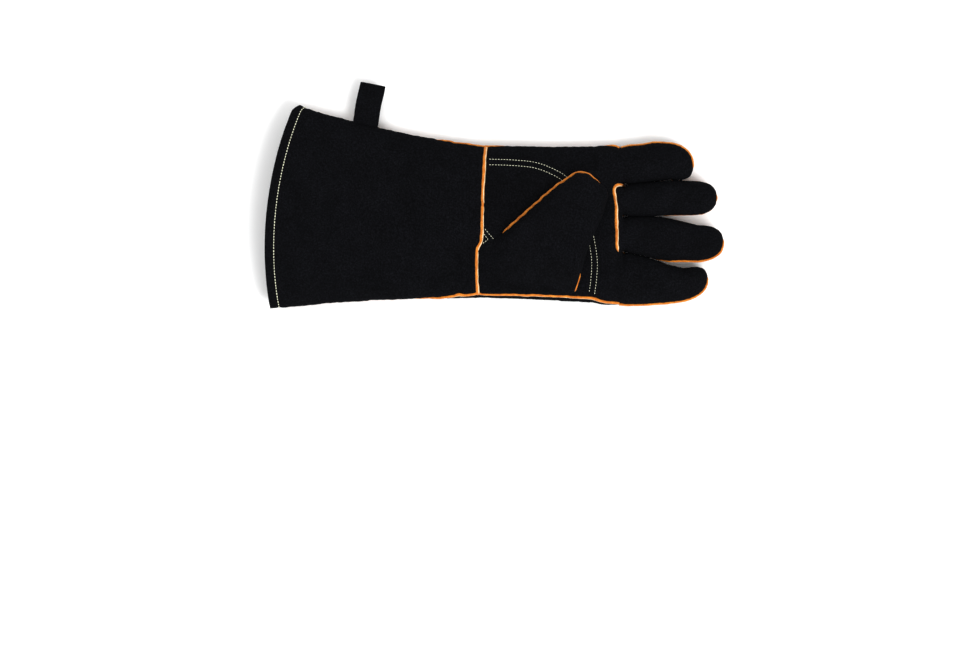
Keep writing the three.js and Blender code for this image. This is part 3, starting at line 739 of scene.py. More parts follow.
def noise_node(tree, vector, scale, detail=3.0, roughness=0.6, stretch=None):
    if stretch:
        mapping = tree.nodes.new("ShaderNodeMapping")
        mapping.inputs["Scale"].default_value = stretch
        tree.links.new(vector, mapping.inputs["Vector"])
        vector = mapping.outputs["Vector"]
    node = tree.nodes.new("ShaderNodeTexNoise")
    node.inputs["Scale"].default_value = scale
    node.inputs["Detail"].default_value = detail
    node.inputs["Roughness"].default_value = roughness
    tree.links.new(vector, node.inputs["Vector"])
    return node.outputs["Fac"]


def ramp(tree, value, stops):
    node = tree.nodes.new("ShaderNodeValToRGB")
    elements = node.color_ramp.elements
    while len(elements) > 1:
        elements.remove(elements[-1])
    elements[0].position, elements[0].color = stops[0][0], (*stops[0][1], 1)
    for position, colour in stops[1:]:
        elements.new(position).color = (*colour, 1)
    tree.links.new(value, node.inputs["Fac"])
    return node.outputs["Color"]


def multiplied(tree, a, b):
    """One colour multiplied by another."""
    node = tree.nodes.new("ShaderNodeMix")
    node.data_type = "RGBA"
    node.blend_type = "MULTIPLY"
    node.inputs["Factor"].default_value = 1
    tree.links.new(a, node.inputs["A"])
    tree.links.new(b, node.inputs["B"])
    return node.outputs["Result"]


def finish(tree, shader, colour, normal, settings):
    """Links a shader's colour and normal, and sets its other inputs by name."""
    tree.links.new(colour, shader.inputs["Base Color"])
    tree.links.new(normal, shader.inputs["Normal"])
    for name, value in settings.items():
        shader.inputs[name].default_value = value


def bump(tree, height, strength, distance, below=None):
    node = tree.nodes.new("ShaderNodeBump")
    node.inputs["Strength"].default_value = strength
    node.inputs["Distance"].default_value = distance
    tree.links.new(height, node.inputs["Height"])
    if below:
        tree.links.new(below, node.inputs["Normal"])
    return node.outputs["Normal"]


def suede(name, dark, light):
    """Split leather: a short nap of fibres, brushed patches, and faint creases."""
    made, tree, shader, vector = material(name)
    patches = noise_node(tree, vector, 55, 4, 0.55)
    nap = noise_node(tree, vector, 800, 3, 0.75)
    fibres = noise_node(tree, vector, 1500, 2, 0.8, (1.0, 0.35, 1.0))
    tone = ramp(tree, patches, [(0.3, dark), (0.7, light)])
    speck = ramp(tree, nap, [(0.34, (0.45,) * 3), (0.5, (0.95,) * 3), (0.66, (2.0,) * 3)])
    rough = tree.nodes.new("ShaderNodeMapRange")
    rough.inputs["To Min"].default_value = 0.78
    rough.inputs["To Max"].default_value = 0.98
    tree.links.new(patches, rough.inputs["Value"])
    tree.links.new(rough.outputs["Result"], shader.inputs["Roughness"])
    creases = noise_node(tree, vector, 160, 5, 0.6)
    soft = bump(tree, creases, 0.22, 0.0008)
    fine = bump(tree, nap, 0.5, 0.00035, soft)
    finish(tree, shader, multiplied(tree, tone, speck), bump(tree, fibres, 0.35, 0.0002, fine),
           {"Specular IOR Level": 0.08, "Sheen Weight": 0.015, "Sheen Roughness": 0.45,
            "Sheen Tint": (0.55, 0.57, 0.66, 1)})
    return made


def dyed_leather(name, dark, light, rough):
    """Smoother leather strip with a fibrous surface."""
    made, tree, shader, vector = material(name)
    blotch = noise_node(tree, vector, 240, 4, 0.6)
    fibre = noise_node(tree, vector, 1400, 3, 0.7)
    tone = ramp(tree, blotch, [(0.32, dark), (0.68, light)])
    speck = ramp(tree, fibre, [(0.3, (0.8,) * 3), (0.7, (1.12,) * 3)])
    soft = bump(tree, blotch, 0.3, 0.0005)
    finish(tree, shader, multiplied(tree, tone, speck), bump(tree, fibre, 0.6, 0.0003, soft),
           {"Roughness": rough, "Specular IOR Level": 0.3, "Sheen Weight": 0.15})
    return made


def spun(name, dark, light):
    """Twisted sewing thread."""
    made, tree, shader, vector = material(name)
    strand = noise_node(tree, vector, 2600, 2, 0.6)
    finish(tree, shader, ramp(tree, strand, [(0.35, dark), (0.65, light)]), bump(tree, strand, 0.5, 0.0002),
           {"Roughness": 0.6, "Sheen Weight": 0.2})
    return made


def fleece(name, dark, light):
    """Soft tufted lining."""
    made, tree, shader, vector = material(name)
    tuft = noise_node(tree, vector, 420, 4, 0.75)
    clump = noise_node(tree, vector, 90, 3, 0.6)
    tone = ramp(tree, tuft, [(0.3, dark), (0.7, light)])
    shadow = ramp(tree, clump, [(0.3, (0.85,) * 3), (0.7, (1.08,) * 3)])
    soft = bump(tree, clump, 0.5, 0.002)
    finish(tree, shader, multiplied(tree, tone, shadow), bump(tree, tuft, 0.8, 0.0012, soft),
           {"Roughness": 0.95, "Sheen Weight": 0.5})
    return made


def twill(name, dark, light):
    """Woven cloth with a diagonal rib."""
    made, tree, shader, vector = material(name)
    wave = tree.nodes.new("ShaderNodeTexWave")
    wave.bands_direction = "DIAGONAL"
    for key, value in (("Scale", 260), ("Distortion", 0.6), ("Detail", 2), ("Detail Scale", 3)):
        wave.inputs[key].default_value = value
    tree.links.new(vector, wave.inputs["Vector"])
    rib = wave.outputs["Fac"]
    finish(tree, shader, ramp(tree, rib, [(0.2, dark), (0.8, light)]), bump(tree, rib, 0.6, 0.0004),
           {"Roughness": 0.9, "Sheen Weight": 0.25})
    return made


SUEDE = suede("black_suede", (0.0050, 0.0052, 0.0066), (0.0078, 0.0081, 0.0102))
SUEDE_PATCH = suede("black_suede_patch", (0.0045, 0.0046, 0.0058), (0.0070, 0.0072, 0.0091))
ORANGE = dyed_leather("orange_welt", (0.50, 0.160, 0.019), (0.72, 0.290, 0.040), 0.62)
CREAM = dyed_leather("welt_cut_edge", (0.56, 0.42, 0.25), (0.76, 0.64, 0.46), 0.75)
THREAD = spun("off_white_thread", (0.54, 0.54, 0.40), (0.80, 0.80, 0.64))
FLEECE = fleece("lining_fleece", (0.22, 0.21, 0.19), (0.38, 0.365, 0.33))
CLOTH = twill("cuff_twill", (0.022, 0.023, 0.029), (0.055, 0.059, 0.073))


# ---- Seam lines, in plan on the palm side ------------------------------------------------------

WRIST_SEAM = [(2.7, 67.3), (1.4, 50), (0.2, 30), (-0.4, 0), (-1.6, -17.5), (-4.2, -22.5), (-5.3, -28),
              (-5.3, -45), (-4.6, -63.5)]
FINGER_FOOT_SEAM = [(119.6, -26.5), (118.2, -18), (118.2, -3), (118.1, 10), (117.2, 20), (116.0, 27.0),
                    (116.6, 31), (118.6, 32.8), (121.5, 33.3), (125.6, 32.6)]
THUMB_SEAM = [(17.5, -10.6), (22.2, -7.1), (38, 6.2), (55, 19.5), (68.3, 30.1), (77, 36.8),
              (84.2, 40.5), (91.3, 40.3), (98.4, 37.2), (102.5, 33.0)]
THUMB_FOOT_SEAM = [(86.6, -46.0), (85.2, -51.5), (82.0, -62.0)]
PATCH_EDGE = [(3.4, 58.2), (25, 57.6), (46, 55.5), (62, 50), (76, 41.5), (88, 26), (96, 8), (100.5, -12),
              (103.8, -33), (103.4, -50), (101.6, -65.5)]
PATCH_START = [(-65.5, -4.0), (-25, -4.4), (-20, -1.0), (58, 3.0)]  # x of its end at the wrist, by y
PATCH_LIFT = 1.25
PATCH_EDGE_LIFT = 0.35
PATCH_SUNK = 0.8
STITCH_INSETS = (3.0, 8.0)
WRIST_FOLDS = ([(-13, -24), (-12, -38), (-15, -52), (-22, -64)], [(-23, -30), (-20, -44), (-27, -58)])
# Depth, width, pucker and the puckers' pitch of each groove along a line.
GROOVES = {
    "wrist": (1.3, 2.2, 0.25, 11),
    "finger_foot": (1.2, 2.0, 0.25, 9),
    "index_side": (1.2, 2.2, 0.15, 8),
    "little_side": (1.0, 2.2, 0.12, 8),
    "hem": (0.45, 1.5, 0.12, 7),
}
FINGER_GROOVE = (0.9, 2.0, 0.15, 6.5)
THUMB_GROOVE = (0.8, 2.0, 0.3, 9)
FOLD_GROOVE = (1.5, 2.6, 0.2, 17)
WING_STITCHES = ([(1.4, -6.2), (8.9, -15.1)], [(0.6, -10.6), (4.4, -16.0), (-1.2, -20.2)])

# How far up a finger's side its seam runs: at its root, and near its tip.
SIDE_SEAM_SHARE = 0.58
CROTCH_SEAM_SHARE = 0.18
OUTER_TIP_SHARE = 0.60
INNER_TIP_SHARE = 0.22
# How far up the glove's two sides the side seams run, by x.
INDEX_SIDE_SHARE = [(-200, 0.33), (-85, 0.34), (-62, 0.36), (-45, 0.5), (-28, 0.64), (0, 0.71), (96, 0.71),
                    (124, 0.56)]
LITTLE_SIDE_SHARE = [(-200, 0.3), (-50, 0.34), (-32, 0.46), (8, 0.46), (24, 0.34), (106, 0.36), (124, 0.56)]


def seam_height(x, y):
    """The height of the side seams, blended across the glove."""
    low, high, top, bottom = limits_at(x)
    across = np.clip((y - low) / (high - low), 0, 1)
    index_share = np.interp(x, *zip(*INDEX_SIDE_SHARE))
    little_share = np.interp(x, *zip(*LITTLE_SIDE_SHARE))
    return bottom + (top - bottom) * (index_share + (little_share - index_share) * across)


def side_line(skin, xs, side):
    """The side seam's line on the skin."""
    low, high, _, _ = limits_at(xs)
    ys = high + 9 if side > 0 else low - 9
    return as_line(skin.meet(start, (0, -side, 0), near=start) for start in zip(xs, ys, seam_height(xs, ys)))


def finger_line(finger):
    """Points round a finger at its seam: up its high side, round the tip and back along its low side."""
    xs, lows, highs = (np.array(v, float) for v in zip(*finger["stations"]))
    tip_x, tip_y = finger["tip"]
    outer = finger["outer"]
    reach = tip_x - xs[-1]
    turns = np.radians([15, 30, 45, 58, 70, 80])
    line = []
    for side, edge in ((1, highs), (-1, lows)):
        visible = side == outer
        from_side_seam = visible and finger["side_seam"]
        start_x = HAND_END + 0.5 if from_side_seam else CROTCH_X
        half = [(x, np.interp(x, xs, edge) + side * 1.0) for x in np.linspace(start_x, xs[-1], 14)]
        half += [(xs[-1] + (reach + 1) * math.sin(a), tip_y + (edge[-1] + side - tip_y) * math.cos(a) ** 0.75)
                 for a in turns]
        heights = []
        for x, _ in half:
            near_tip = smoothstep(x, xs[-1] - 45, xs[-1] - 10)
            start = SIDE_SEAM_SHARE if from_side_seam else CROTCH_SEAM_SHARE
            end = OUTER_TIP_SHARE if visible else INNER_TIP_SHARE
            heights.append(FINGER_TOP * (start + (end - start) * near_tip))
        line.append(np.column_stack([half, heights]))
    tip = np.array([[tip_x + 1, tip_y, FINGER_TOP * 0.52]])
    return np.vstack([line[0], tip, line[1][::-1]])


# ---- Building ---------------------------------------------------------------------------------

# Voxel size of each body's first mesh, then the pressure, frames and furthest move of its puffing.
SKIN_VOXEL = 2.5
SKIN_PUFF = (3.0, 16, 3.5)
THUMB_VOXEL = 1.7
THUMB_PUFF = (2.0, 12, 1.5)
# Thickness, material, slot and depth under the skin of each lining.
CUFF_LINING = (0.9, CLOTH, "cuff_cloth", 1.9)
HAND_LINING = (0.9, FLEECE, "lining_fleece", 2.1)
THUMB_LINING = (1.0, FLEECE, "lining_fleece", 1.4)
THUMB_LEATHER = 0.9
# Where the skin is parted, by x.
CUFF_END = 1.8
HAND_TO_FINGERS = 118.5
FINGER_MIDDLE = 143.5
# Where a piece meets the next body, by x, or along the thumb; no piece is bent across these zones.
THUMB_ROOT_ZONE = (-12.0, 12.0)
THUMB_MIDDLE_ZONE = (26.0, 44.0)
THUMB_CUT = 17.0
LOOP_ZONE = (-3.5, 4.5)
LOOP_ROOT = (np.array(JOINTS["loop_swing"]["pos_m"]) - ORIGIN) / MM
LOOP_TURN = math.radians(79)


def blend_x(obj):
    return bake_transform(obj)


def blend_thumb(obj):
    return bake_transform(obj)


def split(line, normals, test):
    """The part of a line that passes a test of x, with one more point at each end to reach its neighbour."""
    kept = np.where(test(line[:, 0]))[0]
    part = slice(max(kept[0] - 1, 0), kept[-1] + 2)
    return line[part], normals[part]


def build_skin():
    bodies = [sleeve_body()] + [finger_body(finger, SIM_SLACK) for finger in FINGERS.values()]
    obj = new_object("skin", *merged(bodies))
    voxel_remesh(obj, SKIN_VOXEL)
    puff(obj, *SKIN_PUFF)
    relax(obj, 2)
    subdivide(obj)
    body = opened(obj)
    for x in (CUFF_END, HAND_TO_FINGERS, FINGER_MIDDLE):
        bisect(body, (x, 0, 0), (1, 0, 0))
    for band in FINGER_BANDS:
        bisect_sheared(body, 1, lambda x, y, z: np.interp(x, *zip(*band)), (0, 1, 0),
                       min_x=HAND_TO_FINGERS - 0.01)
    bisect_sheared(body, 2, lambda x, y, z: seam_height(x, y), (0, 0, 1))
    bisect_sheared(body, 0, lambda x, y, z: mouth_x(y), (-1, 0, 0), clear=True)
    skin = closed(body)
    bpy.data.objects.remove(obj)
    return skin


def finger_number(x, y):
    """Which finger a point beyond the palm is on, counted from the index finger."""
    return sum((y > np.interp(x, *zip(*band))).astype(int) for band in FINGER_BANDS)


def region_names(skin):
    """For each face of the skin, which body it belongs to and if it is on the palm side."""
    centres = skin.centres()
    x, y, z = centres.T
    finger = np.array(FINGER_NAMES)[finger_number(x, y)]
    body = np.where(x < CUFF_END, "cuff", "hand").astype("<U14")
    root = x > HAND_TO_FINGERS
    body[root] = np.char.add(finger[root], "_base")
    tip = x > FINGER_MIDDLE
    body[tip] = np.char.add(finger[tip], "_tip")
    palm = z > seam_height(x, y)
    return body, palm


def slice_edges(x, y, stops):
    """The lowest and highest y of the points near each stop."""
    near = [y[np.abs(x - stop) < 1.6] for stop in stops]
    return soften([(part.min(), part.max()) for part in near], 2)


def fitted(x, y, stops, edges, low, high):
    """y, scaled so that the edges of each slice come to low and high."""
    old_low = np.interp(x, stops, edges[:, 0])
    old_high = np.interp(x, stops, edges[:, 1])
    return low + (y - old_low) * (high - low) / (old_high - old_low)


def widen_fingers(skin):
    """Lets each finger out to its real edges, which the skin couldn't have while it was one mesh."""
    x, y = skin.points[:, 0], skin.points[:, 1]
    stops = np.arange(KNUCKLES_FROM[0], WIDEN_FROM[0], 1.5)
    low, high, _ = hand_limits(np.minimum(x, HAND_END))
    hand = fitted(x, y, stops, slice_edges(x, y, stops), low, high)
    to_hand = smoothstep(x, *KNUCKLES_FROM)
    finger_of = finger_number(x, y)
    out = y + (hand - y) * to_hand
    for number, finger in enumerate(FINGERS.values()):
        xs, lows, highs = zip(*finger["stations"])
        mine = np.where((finger_of == number) & (x > WIDEN_FROM[0]))[0]
        at, across = x[mine], y[mine]
        stops = np.arange(WIDEN_FROM[0] + 1, xs[-1], 1.5)
        touching = FINGER_CONTACT * (1 - smoothstep(at, FINGER_MIDDLE, FINGER_MIDDLE + 12))
        low = np.interp(at, xs, lows) - touching
        high = np.interp(at, xs, highs) + touching
        wide = fitted(at, across, stops, slice_edges(at, across, stops), low, high)
        out[mine] += (wide - out[mine]) * smoothstep(at, *WIDEN_FROM)
    skin.points[:, 1] = out
    skin.refresh()


def wear(skin, stretch, roll, crease, seed):
    """How far worn leather rises in rolls and falls in creases. roll and crease are (size, height)."""
    rolls = noise_field(skin.points * (1, stretch, 1), roll[0], seed, 2)
    creases = noise_field(skin.points * (1.6, 0.8, 1), crease[0], seed + 1, 3)
    return roll[1] * rolls - crease[1] * np.abs(creases)


def lift_off_table(skin):
    skin.points[:, 2] = np.maximum(skin.points[:, 2], TABLE_CLEARANCE)
    skin.refresh()


def build_glove():
    skin = build_skin()
    body, palm = region_names(skin)
    widen_fingers(skin)
    facing_finger = smoothstep(skin.points[:, 0], HAND_END - 8, HAND_END + 4) * np.abs(skin.normals[:, 1])
    move = wear(skin, 0.55, (30, 0.55), (11, 0.32), 1) * (1 - 0.9 * facing_finger)
    skin.points += skin.normals * move[:, None]
    lift_off_table(skin)
    fingers = {name: np.char.startswith(body, name) for name in FINGER_NAMES}
    finger_skins = {name: skin.part(chosen) for name, chosen in fingers.items()}

    def lines():
        made = {
            "wrist": skin.lay(spline(WRIST_SEAM)),
            "finger_foot": skin.lay(spline(FINGER_FOOT_SEAM)),
            "index_side": side_line(skin, np.arange(-176, HAND_END, 0.9), -1),
            "little_side": side_line(skin, np.arange(-165, HAND_END, 0.9), 1),
            "hem": hem_line(skin),
        }
        for name in FINGER_NAMES:
            made[name] = finger_skins[name].wrap(resample(finger_line(FINGERS[name]), 0.9))
        for key, (line, normals) in made.items():
            made[key] = (soften(line, 6), normals)
        return made

    for number, fold in enumerate(WRIST_FOLDS):
        groove(skin, skin.lay(spline(fold))[0], *FOLD_GROOVE, 40 + number)
    skin.refresh()
    for seed, (name, (line, _)) in enumerate(lines().items(), 1):
        groove(skin, line, *GROOVES.get(name, FINGER_GROOVE), seed)
    lift_off_table(skin)
    finger_skins.update({name: skin.part(chosen) for name, chosen in fingers.items()})
    return skin, body, palm, lines()


def hem_line(skin):
    """The hem's stitch row, right round the cuff's mouth."""
    t = 1 + HEM / MOUTH_REACH[0]
    low, high, top, bottom = cuff_limits(t)
    y, z = oval(low - 3, high + 3, bottom - 3, top + 3, 220)
    y = np.append(y, y[0])
    z = np.append(z, z[0])
    ring = np.column_stack([mouth_x(np.clip(y, low, high)) + HEM, y, z])
    line, normals = skin.wrap(resample(ring, 0.9))
    line[:, 0] = mouth_x(line[:, 1]) + HEM
    line[:, 2] = np.maximum(line[:, 2], 0.8)
    return line, normals


def glove_pieces(skin, body, palm):
    from_mouth = skin.points[:, 0] - mouth_x(skin.points[:, 1])
    hem_fold = LEATHER + 1.5 * (1 - smoothstep(from_mouth, 5, 9))
    names = {"cuff": ("cuff_palm_panel", "cuff_back_panel"), "hand": ("palm_panel", "back_panel")}
    for part in sorted(set(body)):
        front, back = names.get(part, (part + "_front", part + "_back"))
        for name, chosen in ((front, palm), (back, ~palm)):
            mine = (body == part) & chosen
            piece = skin_piece("leather_" + name, skin, mine, hem_fold, SUEDE, "black_leather")
            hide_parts(name)
            attach(piece, part)
    linings = {"cuff": "cuff_lining", "hand": "hand_lining"}
    x, y, _ = skin.centres().T
    from_crotch = np.min([np.abs(y - np.interp(x, *zip(*band))) for band in FINGER_BANDS], axis=0)
    in_crotch = (x > HAND_TO_FINGERS - 5) & (x < HAND_END + 7) & (from_crotch < 4.5)
    lined = (x - mouth_x(y) > 4.0) & ~in_crotch
    for part in sorted(set(body)):
        name = linings.get(part, part + "_lining")
        look = CUFF_LINING if part == "cuff" else HAND_LINING
        piece = skin_piece("inside_" + name, skin, (body == part) & lined, *look)
        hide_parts(name)
        attach(piece, part)


def attach(piece, part):
    """Parents a piece of the hand to the hand's body; any other piece only has its transform baked into its
    mesh.
    """
    if part == "cuff":
        blend_x(piece)
    elif part == "hand":
        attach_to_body(piece, "hand")
    elif part.endswith("_base"):
        blend_x(piece)
    else:
        blend_x(piece)


def build_welts(lines):
    line, normals = lines["wrist"]
    piece = welt("welt_wrist", line, normals, WRIST_WELT, cream=-1, fade=(3, 0))
    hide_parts("wrist_welt")
    blend_x(piece)

    line, normals = lines["finger_foot"]
    piece = welt("welt_finger_foot", line, normals, FINGER_FOOT_WELT, cream=1, fade=(4, 3))
    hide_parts("finger_foot_welt")
    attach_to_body(piece, "hand")

    for side, seed in (("index_side", 11), ("little_side", 12)):
        line, normals = lines[side]
        normals = soften(normals, 10)
        cream = 1 if side == "index_side" else -1
        for part, test in (("cuff", lambda x: x < CUFF_END), ("hand", lambda x: x >= CUFF_END)):
            fade = (5, 0) if part == "cuff" else (0, 0)
            piece = welt(f"welt_{part}_{side}", *split(line, normals, test), SIDE_WELT, cream, fade, seed)
            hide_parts(f"{part}_welt_{side}")
            attach(piece, part)

    for number, name in enumerate(FINGER_NAMES):
        line, normals = lines[name]
        normals = soften(normals, 6)
        middle = int(np.argmax(line[:, 0]))
        outer = FINGERS[name]["outer"]
        for part, test in (("base", lambda x: x < FINGER_MIDDLE), ("tip", lambda x: x >= FINGER_MIDDLE)):
            if part == "tip":
                runs = [split(line, normals, test)]
            else:
                halves = (slice(middle), slice(middle, None))
                runs = [split(line[half], normals[half], test) for half in halves]
            made = []
            for k, run in enumerate(runs):
                hidden = part == "base" and not (FINGERS[name]["side_seam"] and (k == 0) == (outer > 0))
                if hidden:
                    look = (CROTCH_WELT, 0, ((9, 0), (0, 9))[k])
                else:
                    look = (FINGER_WELT, outer, (0, 0))
                made.append(welt(f"welt_{name}_{part}_{k}", *run, *look, 20 + number))
            piece = joined(f"welt_{name}_{part}", made)
            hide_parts(f"{name}_{part}_welt")
            attach(piece, f"{name}_{part}")


def joined(name, objects):
    if len(objects) > 1:
        with bpy.context.temp_override(active_object=objects[0], selected_editable_objects=objects):
            bpy.ops.object.join()
    objects[0].name = name
    return objects[0]


def build_patch(skin):
    """The second layer of leather on the palm, with its two rows of stitches."""
    edge = spline(PATCH_EDGE, 1.7)
    rows, columns = len(edge), 56
    start_y = np.linspace(58, -65.5, rows)
    start = np.column_stack([np.interp(start_y, *zip(*PATCH_START)), start_y])
    edge_tree = point_tree([(*point, 0) for point in resample(edge, 0.8)])
    tops = []
    unders = []
    for row_start, row_end in zip(start, edge):
        for share in np.linspace(0, 1, columns):
            x, y = row_start + (row_end - row_start) * share
            distance = edge_tree.find(Vector((x, y, 0)))[2]
            rounding = math.sqrt(1 - (1 - min(distance, 1.4) / 1.4) ** 2)
            hit = np.array(skin.above(x, y)[0])
            tops.append(hit + (0, 0, PATCH_EDGE_LIFT + (PATCH_LIFT - PATCH_EDGE_LIFT) * rounding))
            unders.append(hit - (0, 0, PATCH_SUNK))
    corners = [i * columns + k for i in range(rows - 1) for k in range(columns - 1)]
    top_faces = [(a, a + columns, a + columns + 1, a + 1) for a in corners]
    piece = new_object("leather_palm_patch", tops + unders, thickened(top_faces, rows * columns))
    piece.data.materials.append(SUEDE_PATCH)
    fix_normals(piece)
    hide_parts("palm_patch")
    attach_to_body(piece, "hand")
    patch = Skin(points_of(piece), [tuple(face.vertices) for face in piece.data.polygons])
    seams = []
    for inset in STITCH_INSETS:
        row = edge - left_of(edge) * inset
        seams.append(row[(row[:, 0] > 3.5) & (row[:, 1] > -64)])
    rows = [patch.lay(resample(row, 0.8)) for row in (*seams, *WING_STITCHES)]
    piece = stitches("thread_palm_patch", rows, 0.12, STITCH, 5)
    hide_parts("palm_patch_stitch")
    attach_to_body(piece, "hand")


def fix_normals(obj):
    body = bmesh.new()
    body.from_mesh(obj.data)
    bmesh.ops.recalc_face_normals(body, faces=body.faces[:])
    body.to_mesh(obj.data)
    body.free()


def wing_rise(along, x, y):
    """The thickness of the thumb or its wing, which thins at its seams, and the share of thumb there."""
    free = smoothstep(along, -30, -4)
    seam = smoothstep(y + 65.0, 0, WING_SEAM_RISE)
    wrist = smoothstep(x + 4.0, 0, WING_WRIST_RISE)
    return THUMB_HEIGHT * np.minimum(1, free + (1 - free) * seam * wrist), free


def thumb_edge(skin, plan):
    """The plan line of the thumb's seam, met from its left on the side of the thumb."""
    rise, free = wing_rise((plan - THUMB_ROOT) @ THUMB_U, plan[:, 0], plan[:, 1])
    heights = palm_height(plan[:, 0], plan[:, 1]) + PALM_TO_THUMB + rise * 0.26 + 0.2
    hits = []
    for (x, y), (left_x, left_y), z in zip(plan, left_of(plan), heights):
        start = (x + 14 * left_x, y + 14 * left_y, z)
        hits.append(skin.meet(start, (-left_x, -left_y, 0), 30, near=(x, y, z)))
    return as_line(hits, 10)


def build_thumb():
    obj = new_object("thumb", *thumb_body())
    fix_normals(obj)
    voxel_remesh(obj, THUMB_VOXEL)
    puff(obj, *THUMB_PUFF)
    relax(obj, 3)
    subdivide(obj)
    body = opened(obj)
    point = Vector((*(THUMB_ROOT + THUMB_CUT * THUMB_U), 0))
    bisect(body, point, Vector((*THUMB_U, 0)))
    skin = closed(body)
    bpy.data.objects.remove(obj)
    centres = skin.centres()
    along = (centres[:, :2] - THUMB_ROOT) @ THUMB_U
    across = (centres[:, :2] - THUMB_ROOT) @ THUMB_V
    limits = np.array([thumb_limits(a) for a in along])
    from_edge = np.minimum(np.minimum(across - limits[:, 0], limits[:, 1] - across), THUMB_TIP[0] - along)
    skin.points += skin.normals * wear(skin, 0.6, (24, 0.5), (10, 0.25), 7)[:, None]
    skin.refresh()

    seam_plan = spline(THUMB_SEAM, 0.9)
    foot_plan = spline(THUMB_FOOT_SEAM, 0.9)
    foot_plan = foot_plan - left_of(foot_plan)
    groove(skin, soften(thumb_edge(skin, seam_plan)[0], 8), *THUMB_GROOVE, 31)
    skin.refresh()
    upper = skin.normals[:, 2] > 0
    facing = np.array([upper[list(face)].mean() > 0.5 for face in skin.faces])
    parts = (("thumb_base", "hand", along < THUMB_CUT, THUMB_ROOT_ZONE),
             ("thumb_tip", "thumb_base", along > THUMB_CUT, THUMB_MIDDLE_ZONE))
    for name, parent, chosen, zone in parts:
        for side, mask in (("outer", facing), ("inner", ~facing)):
            mine = chosen & mask
            piece = skin_piece(f"leather_{name}_{side}", skin, mine, THUMB_LEATHER, SUEDE, "black_leather")
            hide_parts(f"{name}_{side}")
            if name == "thumb_base" and side == "outer":
                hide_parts("thumb_wing")
            blend_thumb(piece)
        deep = chosen & (along > -2) & (from_edge > 5)
        piece = skin_piece(f"inside_{name}_lining", skin, deep, *THUMB_LINING)
        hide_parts(f"{name}_lining")
        blend_thumb(piece)
    seam, normals = thumb_edge(skin, seam_plan)
    seam = soften(seam, 8)
    foot, foot_normals = skin.lay(foot_plan)
    join = np.where((seam[:, :2] - THUMB_ROOT) @ THUMB_U < THUMB_CUT)[0][-1] + 1
    piece = joined("welt_thumb_base", [
        welt("welt_thumb_seam", seam[: join + 1], normals[: join + 1], THUMB_WELT, fade=(9, 0), seed=41),
        welt("welt_thumb_foot", soften(foot, 8), foot_normals, THUMB_FOOT_WELT, fade=(3, 3), seed=42)])
    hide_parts("thumb_base_welt")
    blend_thumb(piece)
    piece = welt("welt_thumb_tip", seam[join:], normals[join:], THUMB_WELT, fade=(0, 12), seed=43)
    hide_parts("thumb_tip_welt")
    blend_thumb(piece)


def build_loop():
    """The hanging loop: one strap, folded back on itself and sewn into the side seam."""
    length, width, thick, half_gap = 30.7, 22.4, 1.6, 2.2
    path = [(-9.6, -1.0), (-2.6, -0.9), (4.4, -1.5), (13.4, -half_gap), (22.4, -half_gap - 0.4),
            (27.9, 0.1 - half_gap)]
    turn = np.radians(np.linspace(-60, 60, 9))
    end = length - 3.2
    path += [(end + 3.0 * math.cos(a), (half_gap - 0.4) * math.sin(a) / math.sin(1.05)) for a in turn]
    path += [(27.4, half_gap), (20.4, half_gap + 0.5), (10.4, half_gap - 0.3), (3.4, 1.3), (-2.6, 0.9),
             (-9.6, 0.8)]
    path = spline(path, 0.9)
    out = -left_of(path)
    profile = []
    for a in np.linspace(0, 2 * math.pi, 28, endpoint=False):
        profile.append((signed_power(math.cos(a), 0.16), signed_power(math.sin(a), 0.45)))
    ahead = np.array([math.cos(LOOP_TURN), math.sin(LOOP_TURN), 0])
    aside = np.array([-math.sin(LOOP_TURN), math.cos(LOOP_TURN), 0])
    upward = np.array([0, 0, 1.0])
    rings = []
    for i, (along, height) in enumerate(path):
        bow = 0.35 * math.sin(along / 9.0)
        half = width / 2 * (1 + 0.012 * math.sin(i / 5.0))
        ring = []
        for across, depth in profile:
            offset = out[i] * depth * thick / 2
            curl = 0.5 * across**2 * (1 if height > 0 else -1) * smoothstep(along, 4, 30)
            ring.append(LOOP_ROOT + ahead * (along + offset[0]) + upward * (height + offset[1] - curl)
                        + aside * (across * half + bow))
        rings.append(ring)
    piece = new_object("leather_hanging_loop", *loft(rings))
    fix_normals(piece)
    piece.data.materials.append(SUEDE)
    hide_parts("hanging_loop")
    start, end = (place(LOOP_ROOT + ahead * along) for along in LOOP_ZONE)
    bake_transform(piece)


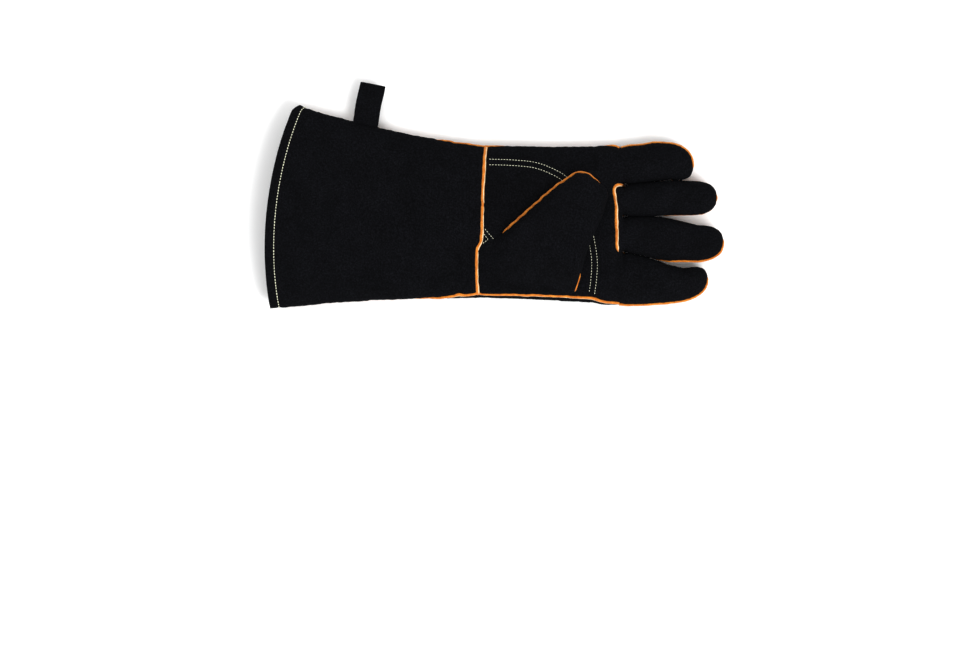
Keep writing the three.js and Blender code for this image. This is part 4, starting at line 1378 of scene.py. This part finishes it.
skin, body, palm, lines = build_glove()
glove_pieces(skin, body, palm)
build_welts(lines)
build_patch(skin)
build_thumb()
build_loop()
hem = stitches("thread_hem", [lines["hem"]], 0.2, HEM_STITCH, 9)
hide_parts("hem_stitch")
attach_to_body(hem, "cuff")


# ---- Stage ------------------------------------------------------------------------------------

CAMERA_XY = (4.0, -91.3)
CAMERA_HEIGHT = 2.017
CAMERA_LENS = 83.3


def build_stage():
    mesh = bpy.data.meshes.new("floor")
    mesh.from_pydata([(-6, -6, 0), (6, -6, 0), (6, 6, 0), (-6, 6, 0)], [], [(0, 1, 2, 3)])
    floor = bpy.data.objects.new("floor", mesh)
    bpy.context.scene.collection.objects.link(floor)
    paper, tree, shader, vector = material("white_paper")
    tone = ramp(tree, noise_node(tree, vector, 3, 2), [(0.3, (0.95, 0.95, 0.95)), (0.7, (0.97, 0.97, 0.97))])
    tree.links.new(tone, shader.inputs["Base Color"])
    shader.inputs["Roughness"].default_value = 0.8
    mesh.materials.append(paper)

    world = bpy.data.worlds.new("studio")
    world.use_nodes = True
    background = world.node_tree.nodes["Background"]
    background.inputs["Color"].default_value = (1.0, 1.0, 1.0, 1)
    background.inputs["Strength"].default_value = 0.92
    bpy.context.scene.world = world
    bpy.context.scene.view_settings.view_transform = "Standard"
    bpy.context.scene.view_settings.gamma = 0.75  # a contrasty print, so that leather looks deep black
    for name, at, size, power in (("key", (1.1, -1.1, 1.8), 1.3, 44), ("fill", (-1.0, 1.1, 1.9), 1.6, 12)):
        lamp = bpy.data.lights.new(name, "AREA")
        lamp.size = size
        lamp.energy = power
        obj = bpy.data.objects.new(name, lamp)
        obj.location = at
        obj.rotation_euler = (-Vector(at)).to_track_quat("-Z", "Y").to_euler()
        bpy.context.scene.collection.objects.link(obj)

    camera_data = bpy.data.cameras.new("camera")
    camera_data.lens = CAMERA_LENS
    camera = bpy.data.objects.new("camera", camera_data)
    camera.location = place((*CAMERA_XY, 0)) + np.array((0, 0, CAMERA_HEIGHT))
    bpy.context.scene.collection.objects.link(camera)
    bpy.context.scene.camera = camera


build_stage()
